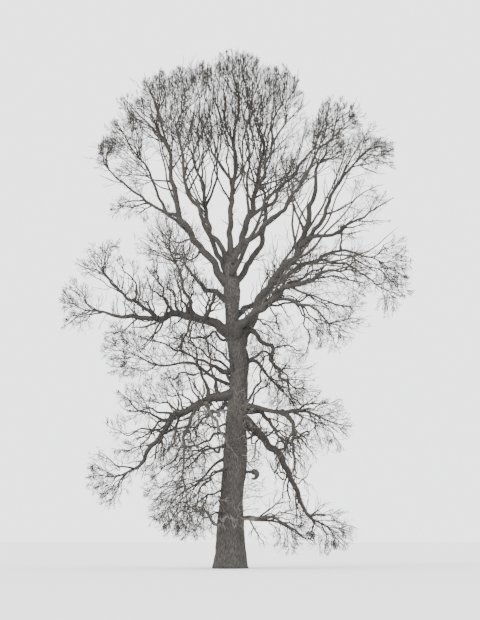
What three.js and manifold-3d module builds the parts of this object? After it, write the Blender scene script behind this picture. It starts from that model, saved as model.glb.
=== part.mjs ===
// A great bare oak tree: trunk, boughs and masses of leafless twigs, in millimetres, +Z up.
// +X is the tree's right and +Y its far side. The origin is at the trunk's cut foot.
import * as THREE from "three";
import { mergeVertices } from "three/addons/utils/BufferGeometryUtils.js";
import Module from "manifold-3d";

const wasm = await Module();
wasm.setup();

// Whole tree
const TREE_HEIGHT = 28600;
const TRUNK_TOP = 17000;
const JOINT_GAP = 0.3;
const GROUND_CLEARANCE = 250;

// Trunk: height, sideways and depth lean, and radius at each change of its taper
const TRUNK = [
  { height: 0, lean: 0, depth: 0, radius: 830 },
  { height: 1430, lean: 30, depth: 0, radius: 790 },
  { height: 2530, lean: 40, depth: 0, radius: 735 },
  { height: 3900, lean: 130, depth: 20, radius: 640 },
  { height: 5830, lean: 320, depth: 40, radius: 675 },
  { height: 8030, lean: 400, depth: 60, radius: 590 },
  { height: 10230, lean: 530, depth: 60, radius: 525 },
  { height: 11600, lean: 500, depth: 40, radius: 560 },
  { height: 12800, lean: 170, depth: 20, radius: 410 },
  { height: 14100, lean: 150, depth: 0, radius: 400 },
  { height: 15180, lean: 110, depth: 20, radius: 480 },
  { height: 16200, lean: 40, depth: 40, radius: 380 },
  { height: TRUNK_TOP, lean: 80, depth: 60, radius: 300 },
];
const TRUNK_SIDES = 16;
const TRUNK_RINGS = 20;
const TRUNK_CROWDING = 1.3;
const FLARE_REACH = 620;
const FLARE_SHARE = 0.17;
const BUTTRESSES = 5;
const BUTTRESS_SHARE = 0.09;
const BUTTRESS_REACH = 1500;
const FLUTES = 3;
const FLUTE_SHARE = 0.03;

// Dead stub and hooked snag on the trunk
const STUB = { height: 10620, heading: 175, depth: -0.25, length: 900, base: 135, end: 110 };
const SNAG = {
  height: 5200, heading: 1, depth: -0.2, reach: 1060,
  hook: 200, turn: 215, base: 70, knob: 160, end: 50,
};
const STUB_SIDES = 6;
const HOOK_STEPS = 4;

// Boughs
const BOUGH_SIDES = 8;
const BOUGH_RINGS = 8;
const BOUGH_CROWDING = 1.25;
const BEND_SHARE = 0.36;
const SWAY_SHARE = 0.016;
const COLLAR_SHARE = 0.45;
const COLLAR_REACH = 1.6;
const TAPER_POWER = 0.9;

// Twig masses
const STEM_SIDES = 4;
const TWIG_SIDES = 3;
const STEM_RINGS = 4;
const FORK_RINGS = 3;
const TWIG_RINGS = 2;
const FINE_RINGS = 1;
const TWIG_SWAY = 0.035;
const TIP_RADIUS = 7;
const SIDE_TWIGS = 4;
const FINE_TWIGS = 1;
const TWIG_TRIES = 5;
const TWIG_CLEARANCE = 12;
const GOLDEN_SHARE = 0.618034;
const GOLDEN_TURN = 2.399963;
const SEED = 5200;

// Boughs: where each leaves its parent (trunk height, or share of the bough it forks from), where it
// ends, the angles at which it leaves and arrives seen from the front, and its radius at each end
const BOUGHS = {
  left_leader: {
    on: "trunk", at: 15250, tip: [-3220, -1300, 21500],
    leave: 130, arrive: 97, base: 225, end: 120,
  },
  back_left_leader: {
    on: "trunk", at: 15850, tip: [-1460, 2300, 21000],
    leave: 120, arrive: 93, base: 165, end: 105,
  },
  front_left_leader: {
    on: "trunk", at: 16450, tip: [-2480, -2300, 21350],
    leave: 112, arrive: 96, base: 160, end: 85,
  },
  middle_leader: {
    on: "trunk", at: 16700, tip: [250, 100, 21450],
    leave: 92, arrive: 82, base: 185, end: 115,
  },
  right_middle_leader: {
    on: "trunk", at: 16600, tip: [1570, 1300, 21350],
    leave: 64, arrive: 77, base: 240, end: 120,
  },
  back_right_leader: {
    on: "trunk", at: 15050, tip: [2000, 3300, 20400],
    leave: 66, arrive: 99, base: 205, end: 105,
  },
  left_fork_bough: {
    on: "left_leader", at: 0.52, tip: [-4540, 600, 22050],
    leave: 150, arrive: 110, base: 105, end: 62,
  },
  left_upper_bough: {
    on: "left_leader", at: 0.68, tip: [-6130, -2400, 21000],
    leave: 174, arrive: 146, base: 95, end: 50,
  },
  right_high_fork: {
    on: "right_middle_leader", at: 0.9, tip: [2560, -900, 23540],
    leave: 56, arrive: 60, base: 95, end: 62,
  },
  right_upper_bough: {
    on: "right_middle_leader", at: 0.58, tip: [4430, 2600, 23270],
    leave: 30, arrive: 52, base: 115, end: 72,
  },
  right_inner_bough: {
    on: "right_middle_leader", at: 0.26, tip: [4480, -2500, 21780],
    leave: 34, arrive: 66, base: 150, end: 80,
  },
  right_leader: {
    on: "trunk", at: 11900, tip: [4810, 700, 21560],
    leave: 70, arrive: 90, base: 290, end: 110,
  },
  right_outer_bough: {
    on: "right_leader", at: 0.63, tip: [6240, -1500, 21280],
    leave: 32, arrive: 52, base: 145, end: 78,
  },
  right_arch_bough: {
    on: "right_leader", at: 0.38, tip: [7290, 1700, 17430],
    leave: 24, arrive: -24, base: 150, end: 60,
  },
  right_drooping_bough: {
    on: "right_arch_bough", at: 0.52, tip: [7730, -700, 15680],
    leave: 4, arrive: -44, base: 85, end: 48,
  },
  front_right_bough: {
    on: "trunk", at: 12500, tip: [5150, -3600, 15700],
    leave: 60, arrive: 22, base: 270, end: 85,
  },
  front_right_branch: {
    on: "front_right_bough", at: 0.5, tip: [4870, -4300, 13250],
    leave: -18, arrive: -56, base: 105, end: 58,
  },
  left_long_bough: {
    on: "trunk", at: 12700, tip: [-6460, 700, 13880],
    leave: 136, arrive: 170, base: 290, end: 90,
  },
  left_rising_bough: {
    on: "left_long_bough", at: 0.64, tip: [-6410, -2300, 15350],
    leave: 138, arrive: 128, base: 115, end: 62,
  },
  front_left_bough: {
    on: "left_long_bough", at: 0.34, tip: [-2600, -3700, 15500],
    leave: 100, arrive: 104, base: 115, end: 66,
  },
  left_low_bough: {
    on: "trunk", at: 9400, tip: [-4650, -900, 5720],
    leave: 178, arrive: 246, base: 265, end: 100,
  },
  left_hanging_bough: {
    on: "left_low_bough", at: 0.3, tip: [-2390, -2700, 5700],
    leave: 228, arrive: 275, base: 120, end: 66,
  },
  right_hanging_bough: {
    on: "trunk", at: 8350, tip: [3880, 900, 3630],
    leave: -34, arrive: -70, base: 265, end: 120,
  },
  back_right_bough: {
    on: "trunk", at: 13650, tip: [2500, 4300, 16100],
    leave: 40, arrive: 62, base: 185, end: 85,
  },
  back_left_bough: {
    on: "trunk", at: 14450, tip: [-2300, 4300, 16900],
    leave: 140, arrive: 118, base: 175, end: 85,
  },
  front_high_bough: {
    on: "trunk", at: 15900, tip: [1700, -3700, 18700],
    leave: 58, arrive: 64, base: 150, end: 78,
  },
  back_low_bough: {
    on: "trunk", at: 8900, tip: [-1300, 4400, 8500],
    leave: 165, arrive: 205, base: 165, end: 80,
  },
};

// Twig masses: the bough whose tip each continues, or a height on the trunk with its own leaving angle
// and radius; the tips of its stem and of its forks; how far it spreads, how much its twigs lift or
// droop, and the share of its stem that is bare
const MASSES = {
  left_leader_twigs: {
    on: "left_leader", tip: [-4650, -2400, 26850],
    forks: [[-5950, -3300, 25600], [-3900, -1700, 27200]], spread: 1700, lift: 0.3,
  },
  back_left_leader_twigs: {
    on: "back_left_leader", tip: [-3420, 4000, 26000],
    forks: [[-1000, 4700, 25400], [-2300, 2600, 27100]], spread: 1800, lift: 0.3,
  },
  front_left_leader_twigs: {
    on: "front_left_leader", tip: [-2450, -3300, 27600],
    forks: [[-3400, -4700, 25600], [-1700, -2000, 27900]], spread: 1400, lift: 0.3,
  },
  middle_leader_twigs: {
    on: "middle_leader", tip: [170, 0, TREE_HEIGHT],
    forks: [[-900, -500, 28050], [900, -300, 28350]], spread: 1300, lift: 0.35,
  },
  right_middle_leader_twigs: {
    on: "right_middle_leader", tip: [1750, 2300, 28100],
    forks: [[2600, 3500, 26500], [700, 3100, 27300]], spread: 1400, lift: 0.3,
  },
  back_right_leader_twigs: {
    on: "back_right_leader", tip: [2000, 5700, 24500],
    forks: [[500, 6500, 23300], [3400, 6400, 23300]], spread: 1900, lift: 0.25,
  },
  left_fork_twigs: {
    on: "left_fork_bough", tip: [-6350, 1500, 24800],
    forks: [[-5300, 2500, 25500], [-5600, 400, 25900]], spread: 1300, lift: 0.2,
  },
  left_upper_twigs: {
    on: "left_upper_bough", tip: [-7250, -2700, 22950],
    forks: [[-7000, -3700, 21600], [-6200, -3900, 23000]], spread: 1300, lift: 0.05,
  },
  right_high_twigs: {
    on: "right_high_fork", tip: [3780, -2600, 27000],
    forks: [[4150, -3300, 25300], [2650, -3000, 27500]], spread: 1400, lift: 0.3,
  },
  right_upper_twigs: {
    on: "right_upper_bough", tip: [5650, 3700, 26050],
    forks: [[6300, 4800, 24500], [5100, 4900, 25200]], spread: 1300, lift: 0.25,
  },
  right_inner_twigs: {
    on: "right_inner_bough", tip: [6900, -4000, 25150],
    forks: [[5400, -4800, 24900], [6700, -5300, 23600]], spread: 1400, lift: 0.2,
  },
  right_leader_twigs: {
    on: "right_leader", tip: [5950, 900, 24350],
    forks: [[4700, 1500, 24500], [6900, 2400, 23400]], spread: 1300, lift: 0.2,
  },
  right_outer_twigs: {
    on: "right_outer_bough", tip: [8750, -1800, 23600],
    forks: [[9150, -1100, 22200], [7650, -2900, 24000]], spread: 1500, lift: 0.1,
  },
  right_arch_twigs: {
    on: "right_arch_bough", tip: [10200, 2100, 17050],
    forks: [[9500, 3400, 18900], [9700, 900, 16100]], spread: 1700, lift: 0.0,
  },
  right_drooping_twigs: {
    on: "right_drooping_bough", tip: [9350, -1600, 14100],
    forks: [[9350, -2600, 15500], [8300, -2700, 14200]], spread: 1300, lift: -0.1,
  },
  front_right_twigs: {
    on: "front_right_bough", tip: [7500, -5300, 15300],
    forks: [[7000, -6700, 16500], [5700, -6500, 17200]], spread: 1600, lift: 0.05,
  },
  front_right_low_twigs: {
    on: "front_right_branch", tip: [6600, -5200, 12050],
    forks: [[5500, -6300, 11500], [7100, -6300, 13500]], spread: 1400, lift: -0.05,
  },
  left_long_twigs: {
    on: "left_long_bough", tip: [-9480, 1200, 14800],
    forks: [[-8650, 2600, 13600], [-8800, 500, 16000]], spread: 1500, lift: 0.12,
  },
  left_rising_twigs: {
    on: "left_rising_bough", tip: [-7350, -3300, 17200],
    forks: [[-8300, -4400, 16100], [-6000, -4600, 17100]], spread: 1600, lift: 0.15,
  },
  front_left_twigs: {
    on: "front_left_bough", tip: [-3200, -6900, 18100],
    forks: [[-4400, -7300, 16700], [-1900, -7600, 17000]], spread: 1900, lift: 0.15,
  },
  left_low_twigs: {
    on: "left_low_bough", tip: [-7700, -1600, 4800],
    forks: [[-6900, -3300, 6100], [-6600, -200, 3300]], spread: 1700, lift: -0.05,
  },
  left_hanging_twigs: {
    on: "left_hanging_bough", tip: [-2700, -4600, 1900],
    forks: [[-3900, -5500, 3400], [-1500, -5300, 3000]], spread: 1700, lift: -0.25,
  },
  right_hanging_twigs: {
    on: "right_hanging_bough", tip: [6350, 1500, 1150],
    forks: [[6200, 200, 2900], [4700, 2400, 1300]], spread: 1300, lift: -0.2,
  },
  back_right_twigs: {
    on: "back_right_bough", tip: [3900, 8300, 18300],
    forks: [[5500, 7400, 17000], [2100, 8500, 16700]], spread: 2000, lift: 0.15,
  },
  back_left_twigs: {
    on: "back_left_bough", tip: [-3900, 8100, 19500],
    forks: [[-5600, 6900, 18500], [-2200, 8500, 18100]], spread: 2000, lift: 0.15,
  },
  front_high_twigs: {
    on: "front_high_bough", tip: [2900, -7200, 21700],
    forks: [[4300, -6700, 20300], [1300, -7600, 20300]], spread: 1900, lift: 0.2,
  },
  back_low_twigs: {
    on: "back_low_bough", tip: [-2300, 8000, 6900],
    forks: [[-3900, 7200, 7600], [-700, 7900, 8300]], spread: 1900, lift: -0.05,
  },
  left_thin_twigs: {
    on: "trunk", at: 9650, leave: 140, base: 110, tip: [-6800, 1700, 12150],
    forks: [[-6100, 3000, 11000], [-5800, 900, 13000]], spread: 1500, lift: 0.05, bare: 0.4,
  },
  right_chain_twigs: {
    on: "trunk", at: 11100, leave: 30, base: 120, tip: [3770, -900, 8450],
    forks: [[4600, -1700, 10000], [3000, -2600, 9600]], spread: 1200, lift: -0.1, bare: 0.35,
  },
  right_low_twigs: {
    on: "trunk", at: 8700, leave: 8, base: 170, tip: [6300, -3500, 7500],
    forks: [[5600, -4900, 8700], [4900, -4200, 6200]], spread: 1500, lift: 0.0, bare: 0.4,
  },
  right_foot_twigs: {
    on: "trunk", at: 2350, leave: 45, base: 105, tip: [4550, -900, 1500],
    forks: [[4000, -2200, 2700], [4300, 400, 2300]], spread: 1100, lift: -0.1, bare: 0.3,
  },
  left_foot_twigs: {
    on: "trunk", at: 6100, leave: 200, base: 90, tip: [-3950, 900, 2500],
    forks: [[-4300, 2600, 3700], [-2500, 2100, 1700]], spread: 1600, lift: -0.2, bare: 0.25,
  },
};

const BARK = { color: 0x4f4a45, roughness: 0.95, metalness: 0 };
const BOUGH_BARK = { color: 0x47423e, roughness: 0.95, metalness: 0 };
const TWIG_BARK = { color: 0x57504a, roughness: 0.95, metalness: 0 };

const UP = new THREE.Vector3(0, 0, 1);
const RIGHT = new THREE.Vector3(1, 0, 0);

// Seeded numbers between 0 and 1
function randomFrom(seed) {
  let state = seed >>> 0;
  return () => {
    state = (state + 0x6d2b79f5) >>> 0;
    let t = Math.imul(state ^ (state >>> 15), state | 1);
    t = (t ^ (t + Math.imul(t ^ (t >>> 7), t | 61))) >>> 0;
    return ((t ^ (t >>> 14)) >>> 0) / 4294967296;
  };
}

function vector([x, y, z]) {
  return new THREE.Vector3(x, y, z);
}

function frontDirection(degrees, depth) {
  const angle = THREE.MathUtils.degToRad(degrees);
  return new THREE.Vector3(Math.cos(angle), depth, Math.sin(angle)).normalize();
}

// One size of the trunk at a height, smooth through the named stations
function trunkSize(key, height) {
  let i = 0;
  while (i < TRUNK.length - 2 && height > TRUNK[i + 1].height) {
    i += 1;
  }
  const slope = (k) => {
    const before = TRUNK[Math.max(k - 1, 0)];
    const after = TRUNK[Math.min(k + 1, TRUNK.length - 1)];
    return (after[key] - before[key]) / (after.height - before.height);
  };
  const span = TRUNK[i + 1].height - TRUNK[i].height;
  const t = (height - TRUNK[i].height) / span;
  return (
    (2 * t ** 3 - 3 * t ** 2 + 1) * TRUNK[i][key] +
    (t ** 3 - 2 * t ** 2 + t) * span * slope(i) +
    (3 * t ** 2 - 2 * t ** 3) * TRUNK[i + 1][key] +
    (t ** 3 - t ** 2) * span * slope(i + 1)
  );
}

function trunkCentre(height) {
  return new THREE.Vector3(trunkSize("lean", height), trunkSize("depth", height), height);
}

// Root flare with its buttresses near the ground, shallow flutes above
function trunkRadius(height, angle) {
  const flare = FLARE_SHARE * Math.exp(-height / FLARE_REACH);
  const buttress = BUTTRESS_SHARE * Math.exp(-height / BUTTRESS_REACH) * Math.cos(BUTTRESSES * angle + 0.6);
  const flute = FLUTE_SHARE * Math.cos(FLUTES * angle + height / 2600);
  return trunkSize("radius", height) * (1 + flare + buttress + flute);
}

// Curve of a limb or twig between two places, with the directions at its ends
function limbCurve(root, tip, leave, arrive) {
  const reach = root.distanceTo(tip) * BEND_SHARE;
  return new THREE.CubicBezierCurve3(
    root.clone(),
    root.clone().addScaledVector(leave, reach),
    tip.clone().addScaledVector(arrive, -reach),
    tip.clone(),
  );
}

// Centres along the curve with a seeded sway that dies out at both ends
function limbLine(curve, steps, crowding, sway, random) {
  const root = curve.getPoint(0);
  const tip = curve.getPoint(1);
  const chord = tip.clone().sub(root);
  const length = chord.length();
  const side = new THREE.Vector3().crossVectors(chord, UP);
  if (side.length() < 0.05 * length) {
    side.set(length, 0, 0);
  }
  side.normalize();
  const rise = new THREE.Vector3().crossVectors(side, chord).normalize();
  const waves = [1.4 + random(), 1.2 + random()];
  const phases = [random() * 2 * Math.PI, random() * 2 * Math.PI];
  const points = [];
  for (let k = 0; k <= steps; k += 1) {
    const share = (k / steps) ** crowding;
    const reach = sway * length * Math.sin(Math.PI * share);
    const point = curve.getPoint(share);
    point.addScaledVector(side, reach * Math.sin(2 * Math.PI * waves[0] * share + phases[0]));
    point.addScaledVector(rise, reach * Math.sin(2 * Math.PI * waves[1] * share + phases[1]));
    points.push(point);
  }
  return points;
}

function lineLength(points) {
  return points.slice(1).reduce((sum, point, i) => sum + point.distanceTo(points[i]), 0);
}

// Place and direction at a share of a line's length
function alongLine(points, share) {
  const target = share * lineLength(points);
  let passed = 0;
  for (let i = 0; i < points.length - 1; i += 1) {
    const step = points[i].distanceTo(points[i + 1]);
    if (passed + step >= target || i === points.length - 2) {
      const part = Math.min(1, (target - passed) / step);
      const direction = points[i + 1].clone().sub(points[i]).normalize();
      return { point: points[i].clone().lerp(points[i + 1], part), direction };
    }
    passed += step;
  }
  throw new Error("a line needs two points");
}

// Section planes along a line, turned as little as possible from one to the next
function sections(points, start = null) {
  const last = points.length - 1;
  const along = points.map((_, k) =>
    points[Math.min(k + 1, last)].clone().sub(points[Math.max(k - 1, 0)]).normalize(),
  );
  along[0] = start ?? along[0];
  const first = Math.abs(along[0].z) < 0.9 ? UP : RIGHT;
  let side = new THREE.Vector3().crossVectors(first, along[0]).normalize();
  return points.map((centre, k) => {
    side = side.clone().addScaledVector(along[k], -side.dot(along[k])).normalize();
    const across = new THREE.Vector3().crossVectors(side, along[k]);
    return { centre, along: along[k], side, across };
  });
}

// Closed tube: a cylinder whose rings are moved to the section planes
function tube(planes, sides, radiusAt, pointed = false) {
  const last = planes.length - 1;
  const geometry = new THREE.CylinderGeometry(pointed ? 0 : 1, 1, 1, sides, last);
  geometry.deleteAttribute("normal");
  geometry.deleteAttribute("uv");
  const position = geometry.attributes.position;
  const place = new THREE.Vector3();
  for (let i = 0; i < position.count; i += 1) {
    const ring = Math.round((position.getY(i) + 0.5) * last);
    const plane = planes[ring];
    const centred = Math.hypot(position.getX(i), position.getZ(i)) < 1e-6;
    const angle = Math.atan2(position.getZ(i), position.getX(i));
    const radius = centred ? 0 : radiusAt(ring / last, angle, ring);
    place.copy(plane.centre);
    place.addScaledVector(plane.side, radius * Math.cos(angle));
    place.addScaledVector(plane.across, radius * Math.sin(angle));
    position.setXYZ(i, place.x, place.y, place.z);
  }
  return geometry;
}

function solid(geometry) {
  const merged = mergeVertices(geometry, 1e-4);
  return new wasm.Manifold(
    new wasm.Mesh({
      numProp: 3,
      vertProperties: new Float32Array(merged.attributes.position.array),
      triVerts: new Uint32Array(merged.index.array),
    }),
  );
}

function largestPiece(body) {
  const pieces = body.decompose();
  return pieces.reduce((best, piece) => (piece.volume() > best.volume() ? piece : best));
}

function meshOf(name, body, root, look) {
  const shell = body.translate([-root.x, -root.y, -root.z]).getMesh();
  const geometry = new THREE.BufferGeometry();
  geometry.setAttribute("position", new THREE.BufferAttribute(new Float32Array(shell.vertProperties), 3));
  geometry.setIndex(new THREE.BufferAttribute(new Uint32Array(shell.triVerts), 1));
  geometry.computeVertexNormals();
  const mesh = new THREE.Mesh(geometry, new THREE.MeshStandardMaterial(look));
  mesh.name = name;
  mesh.position.copy(root);
  return mesh;
}

// The trunk's shaft, from its flat foot up to its fork
function shaftSolid(margin) {
  const planes = [];
  for (let k = 0; k <= TRUNK_RINGS; k += 1) {
    const height = TRUNK_TOP * (k / TRUNK_RINGS) ** TRUNK_CROWDING;
    const shift = k === TRUNK_RINGS ? margin : 0;
    planes.push({
      centre: trunkCentre(height).add(new THREE.Vector3(0, 0, shift)),
      side: RIGHT,
      across: new THREE.Vector3(0, -1, 0),
      height,
    });
  }
  const radiusAt = (_, angle, ring) => trunkRadius(planes[ring].height, angle) + margin;
  return solid(tube(planes, TRUNK_SIDES, radiusAt));
}

// The blunt dead stub high on the trunk's left
function stubSolid(margin) {
  const heading = frontDirection(STUB.heading, STUB.depth);
  const root = trunkCentre(STUB.height);
  const tip = root.clone().addScaledVector(heading, STUB.length);
  const planes = sections([root, root.clone().lerp(tip, 0.6), tip]);
  const radiusAt = (share) => THREE.MathUtils.lerp(STUB.base, STUB.end, share) + margin;
  return solid(tube(planes, STUB_SIDES, radiusAt));
}

// The snag low on its right: a thin neck, then a knob that hooks down and back
function snagSolid(margin) {
  const heading = frontDirection(SNAG.heading, SNAG.depth);
  const root = trunkCentre(SNAG.height);
  const neck = root.clone().addScaledVector(heading, SNAG.reach - SNAG.knob);
  const knee = root.clone().addScaledVector(heading, SNAG.reach);
  const points = [root, neck];
  const radii = [SNAG.base, SNAG.base];
  for (let k = 0; k <= HOOK_STEPS; k += 1) {
    const angle = THREE.MathUtils.degToRad((SNAG.turn * k) / HOOK_STEPS);
    const point = knee.clone().addScaledVector(heading, SNAG.hook * Math.sin(angle));
    points.push(point.addScaledVector(UP, SNAG.hook * (Math.cos(angle) - 1)));
    radii.push(THREE.MathUtils.lerp(SNAG.knob, SNAG.end, (k / HOOK_STEPS) ** 2));
  }
  return solid(tube(sections(points), STUB_SIDES, (_, angle, ring) => radii[ring] + margin));
}

// Trunk with its stub and snag, grown by a margin when it is used to cut its boughs
function trunkBody(margin) {
  return shaftSolid(margin).add(stubSolid(margin)).add(snagSolid(margin));
}

// Lines and radii of the boughs
function boughLine(bough, random) {
  const parent = bough.on === "trunk" ? null : boughs[bough.on];
  const root = parent ? alongLine(parent.points, bough.at).point : trunkCentre(bough.at);
  const tip = vector(bough.tip);
  const depth = (tip.y - root.y) / Math.hypot(tip.x - root.x, tip.z - root.z);
  const curve = limbCurve(root, tip, frontDirection(bough.leave, depth), frontDirection(bough.arrive, depth));
  return limbLine(curve, BOUGH_RINGS, BOUGH_CROWDING, SWAY_SHARE, random);
}

function boughRadius(bough, share, distance, parentRadius) {
  const taper = bough.end + (bough.base - bough.end) * (1 - share) ** TAPER_POWER;
  const past = Math.max(0, distance - parentRadius);
  return taper + COLLAR_SHARE * bough.base * Math.exp(-past / (COLLAR_REACH * bough.base));
}

function boughSolid(bough, margin) {
  const planes = sections(bough.points);
  const end = planes[planes.length - 1];
  end.centre = end.centre.clone().addScaledVector(end.along, margin);
  return solid(tube(planes, BOUGH_SIDES, (_, angle, ring) => bough.radii[ring] + margin));
}

const boughs = {};
Object.entries(BOUGHS).forEach(([name, sizes], index) => {
  const points = boughLine(sizes, randomFrom(SEED + 31 * index));
  const onTrunk = sizes.on === "trunk";
  const parentRadius = onTrunk
    ? trunkSize("radius", sizes.at)
    : THREE.MathUtils.lerp(boughs[sizes.on].base, boughs[sizes.on].end, sizes.at);
  const whole = lineLength(points);
  let passed = 0;
  const radii = points.map((point, k) => {
    passed += k ? point.distanceTo(points[k - 1]) : 0;
    return boughRadius(sizes, passed / whole, point.distanceTo(points[0]), parentRadius);
  });
  boughs[name] = { ...sizes, points, radii };
});

// Shortest distance between two straight pieces
function pieceGap(a, b, c, d) {
  const ab = b.clone().sub(a);
  const cd = d.clone().sub(c);
  const ca = a.clone().sub(c);
  const abab = ab.dot(ab);
  const cdcd = cd.dot(cd);
  const abcd = ab.dot(cd);
  const abca = ab.dot(ca);
  const cdca = cd.dot(ca);
  const spread = abab * cdcd - abcd * abcd;
  let s = spread > 1e-6 ? THREE.MathUtils.clamp((abcd * cdca - abca * cdcd) / spread, 0, 1) : 0;
  const t = THREE.MathUtils.clamp((abcd * s + cdca) / cdcd, 0, 1);
  s = THREE.MathUtils.clamp((abcd * t - abca) / abab, 0, 1);
  return a.clone().addScaledVector(ab, s).distanceTo(c.clone().addScaledVector(cd, t));
}

// Pieces that twigs must keep off: the trunk, the boughs and the twigs of the other masses
const taken = [];

function take(points, radii, owner) {
  for (let i = 0; i < points.length - 1; i += 1) {
    const radius = Math.max(radii[i], radii[i + 1]);
    const middle = points[i].clone().add(points[i + 1]).multiplyScalar(0.5);
    const half = points[i].distanceTo(points[i + 1]) / 2;
    taken.push({ a: points[i], b: points[i + 1], radius, middle, half, owner });
  }
}

function clearOfOthers(points, radius, owner) {
  for (let i = 0; i < points.length - 1; i += 1) {
    const middle = points[i].clone().add(points[i + 1]).multiplyScalar(0.5);
    const half = points[i].distanceTo(points[i + 1]) / 2;
    for (const piece of taken) {
      const room = piece.radius + radius + TWIG_CLEARANCE;
      const near = middle.distanceTo(piece.middle) < half + piece.half + room;
      if (piece.owner !== owner && near && pieceGap(points[i], points[i + 1], piece.a, piece.b) < room) {
        return false;
      }
    }
  }
  return true;
}

// A mass's own space: round its stem, narrow at the root, no further than its tip
function insideSpace(mass, point) {
  const chord = mass.tipPoint.clone().sub(mass.root);
  const share = point.clone().sub(mass.root).dot(chord) / chord.lengthSq();
  const off = point.distanceTo(mass.root.clone().addScaledVector(chord, share));
  const room = mass.spread * Math.min(1, 0.35 + 1.3 * Math.max(share, 0));
  return share > -0.12 && share < 1.02 && off < room && point.z > GROUND_CLEARANCE && point.z < TREE_HEIGHT;
}

function twigRadius(base, share) {
  return TIP_RADIUS + (base - TIP_RADIUS) * (1 - share) ** TAPER_POWER;
}

// One side twig of a parent line, tried at several turns until it is clear
function sideTwig(mass, parent, share, order, number, random) {
  const { point, direction } = alongLine(parent.points, share);
  const parentLength = lineLength(parent.points);
  const base = Math.max(1.6 * TIP_RADIUS, twigRadius(parent.base, share) * 0.55);
  const upright = Math.abs(direction.z) >= 0.9;
  const side = new THREE.Vector3().crossVectors(direction, upright ? RIGHT : UP).normalize();
  const across = new THREE.Vector3().crossVectors(direction, side);
  for (let attempt = 0; attempt < TWIG_TRIES; attempt += 1) {
    const turn = number * GOLDEN_TURN + attempt * 1.3 + random();
    const open = THREE.MathUtils.degToRad(32 + 24 * random() + 6 * order);
    const grown = parentLength * (0.66 - 0.32 * share) * (0.8 + 0.4 * random()) * (1 - 0.12 * attempt);
    const length = Math.min(grown, 1.35 * mass.spread);
    const leave = direction.clone().multiplyScalar(Math.cos(open));
    leave.addScaledVector(side, Math.sin(open) * Math.cos(turn));
    leave.addScaledVector(across, Math.sin(open) * Math.sin(turn));
    const arrive = leave.clone().addScaledVector(UP, 2.2 * mass.lift).normalize();
    const heading = leave.clone().addScaledVector(UP, mass.lift).normalize();
    const tip = point.clone().addScaledVector(heading, length);
    const steps = order === 1 ? TWIG_RINGS : FINE_RINGS;
    const points = limbLine(limbCurve(point, tip, leave, arrive), steps, 1, TWIG_SWAY, random);
    const inside = points.slice(1).every((place) => insideSpace(mass, place));
    if (inside && clearOfOthers(points, base, mass.name)) {
      return { points, base, order };
    }
  }
  return null;
}

// Stem and forks first, so that every mass keeps off them
const masses = {};
Object.entries(MASSES).forEach(([name, sizes], index) => {
  const random = randomFrom(SEED + 7000 + 97 * index);
  const bough = boughs[sizes.on];
  const end = bough ? bough.points.length - 1 : 0;
  const leave = bough ? bough.points[end].clone().sub(bough.points[end - 1]).normalize() : null;
  const root = bough ? bough.points[end].clone().addScaledVector(leave, JOINT_GAP) : trunkCentre(sizes.at);
  const tipPoint = vector(sizes.tip);
  const chord = tipPoint.clone().sub(root);
  const depth = chord.y / Math.hypot(chord.x, chord.z);
  const away = leave ?? frontDirection(sizes.leave, depth);
  const base = bough ? bough.end : sizes.base;
  const arrive = chord.clone().normalize().addScaledVector(UP, sizes.lift).normalize();
  const points = limbLine(limbCurve(root, tipPoint, away, arrive), STEM_RINGS, 1, TWIG_SWAY, random);
  const mass = { ...sizes, name, root, tipPoint, bare: sizes.bare ?? 0.08, twigs: [] };
  mass.stem = { points, base, order: 0, start: away };
  mass.random = random;
  mass.forkTwigs = sizes.forks.map((fork, i) => {
    const share = mass.bare + 0.1 + 0.12 * i;
    const from = alongLine(points, share);
    const forkTip = vector(fork);
    const towards = forkTip.clone().sub(from.point).normalize();
    const start = towards.clone().add(from.direction).normalize();
    const finish = towards.clone().addScaledVector(UP, sizes.lift).normalize();
    const line = limbLine(limbCurve(from.point, forkTip, start, finish), FORK_RINGS, 1, TWIG_SWAY, random);
    return { points: line, base: twigRadius(base, share) * 0.72, order: 1 };
  });
  masses[name] = mass;
});

const trunkPoints = TRUNK.map((station) => trunkCentre(station.height));
take(trunkPoints, TRUNK.map((station) => station.radius * 1.15), "trunk");
Object.entries(boughs).forEach(([name, bough]) => take(bough.points, bough.radii, name));
Object.values(masses).forEach((mass) => {
  [mass.stem, ...mass.forkTwigs].forEach((twig) => {
    const last = twig.points.length - 1;
    take(twig.points, twig.points.map((_, k) => twigRadius(twig.base, k / last)), mass.name);
  });
});

// Side twigs, then finer twigs on the forks and side twigs
function growMass(mass) {
  const kept = [...mass.forkTwigs];
  for (let i = 0; i < SIDE_TWIGS; i += 1) {
    const share = mass.bare + (0.92 - mass.bare) * (((i + 1) * GOLDEN_SHARE) % 1);
    const twig = sideTwig(mass, mass.stem, share, 1, i, mass.random);
    if (twig) {
      kept.push(twig);
    }
  }
  const parents = [...kept];
  parents.forEach((parent, i) => {
    for (let k = 0; k < FINE_TWIGS; k += 1) {
      const share = 0.3 + 0.55 * (((k + 1) * GOLDEN_SHARE + 0.17 * i) % 1);
      const twig = sideTwig(mass, parent, share, 2, i + 3 * k, mass.random);
      if (twig) {
        kept.push(twig);
      }
    }
  });
  kept.forEach((twig) => take(twig.points, twig.points.map(() => twig.base), mass.name));
  mass.twigs = kept;
}

Object.values(masses).forEach(growMass);

function twigSolid(twig, sides) {
  const planes = sections(twig.points, twig.start);
  const radiusAt = (share) => twigRadius(twig.base, share);
  return solid(tube(planes, sides, radiusAt, true));
}

// Every limb is cut clear of the thicker ones it grows from
const grownLimbs = [{ name: "trunk", body: trunkBody(JOINT_GAP) }];
const group = new THREE.Group();
const limbGroup = new THREE.Group();
const twigGroup = new THREE.Group();
group.add(meshOf("trunk", trunkBody(0), new THREE.Vector3(), BARK));

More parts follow.
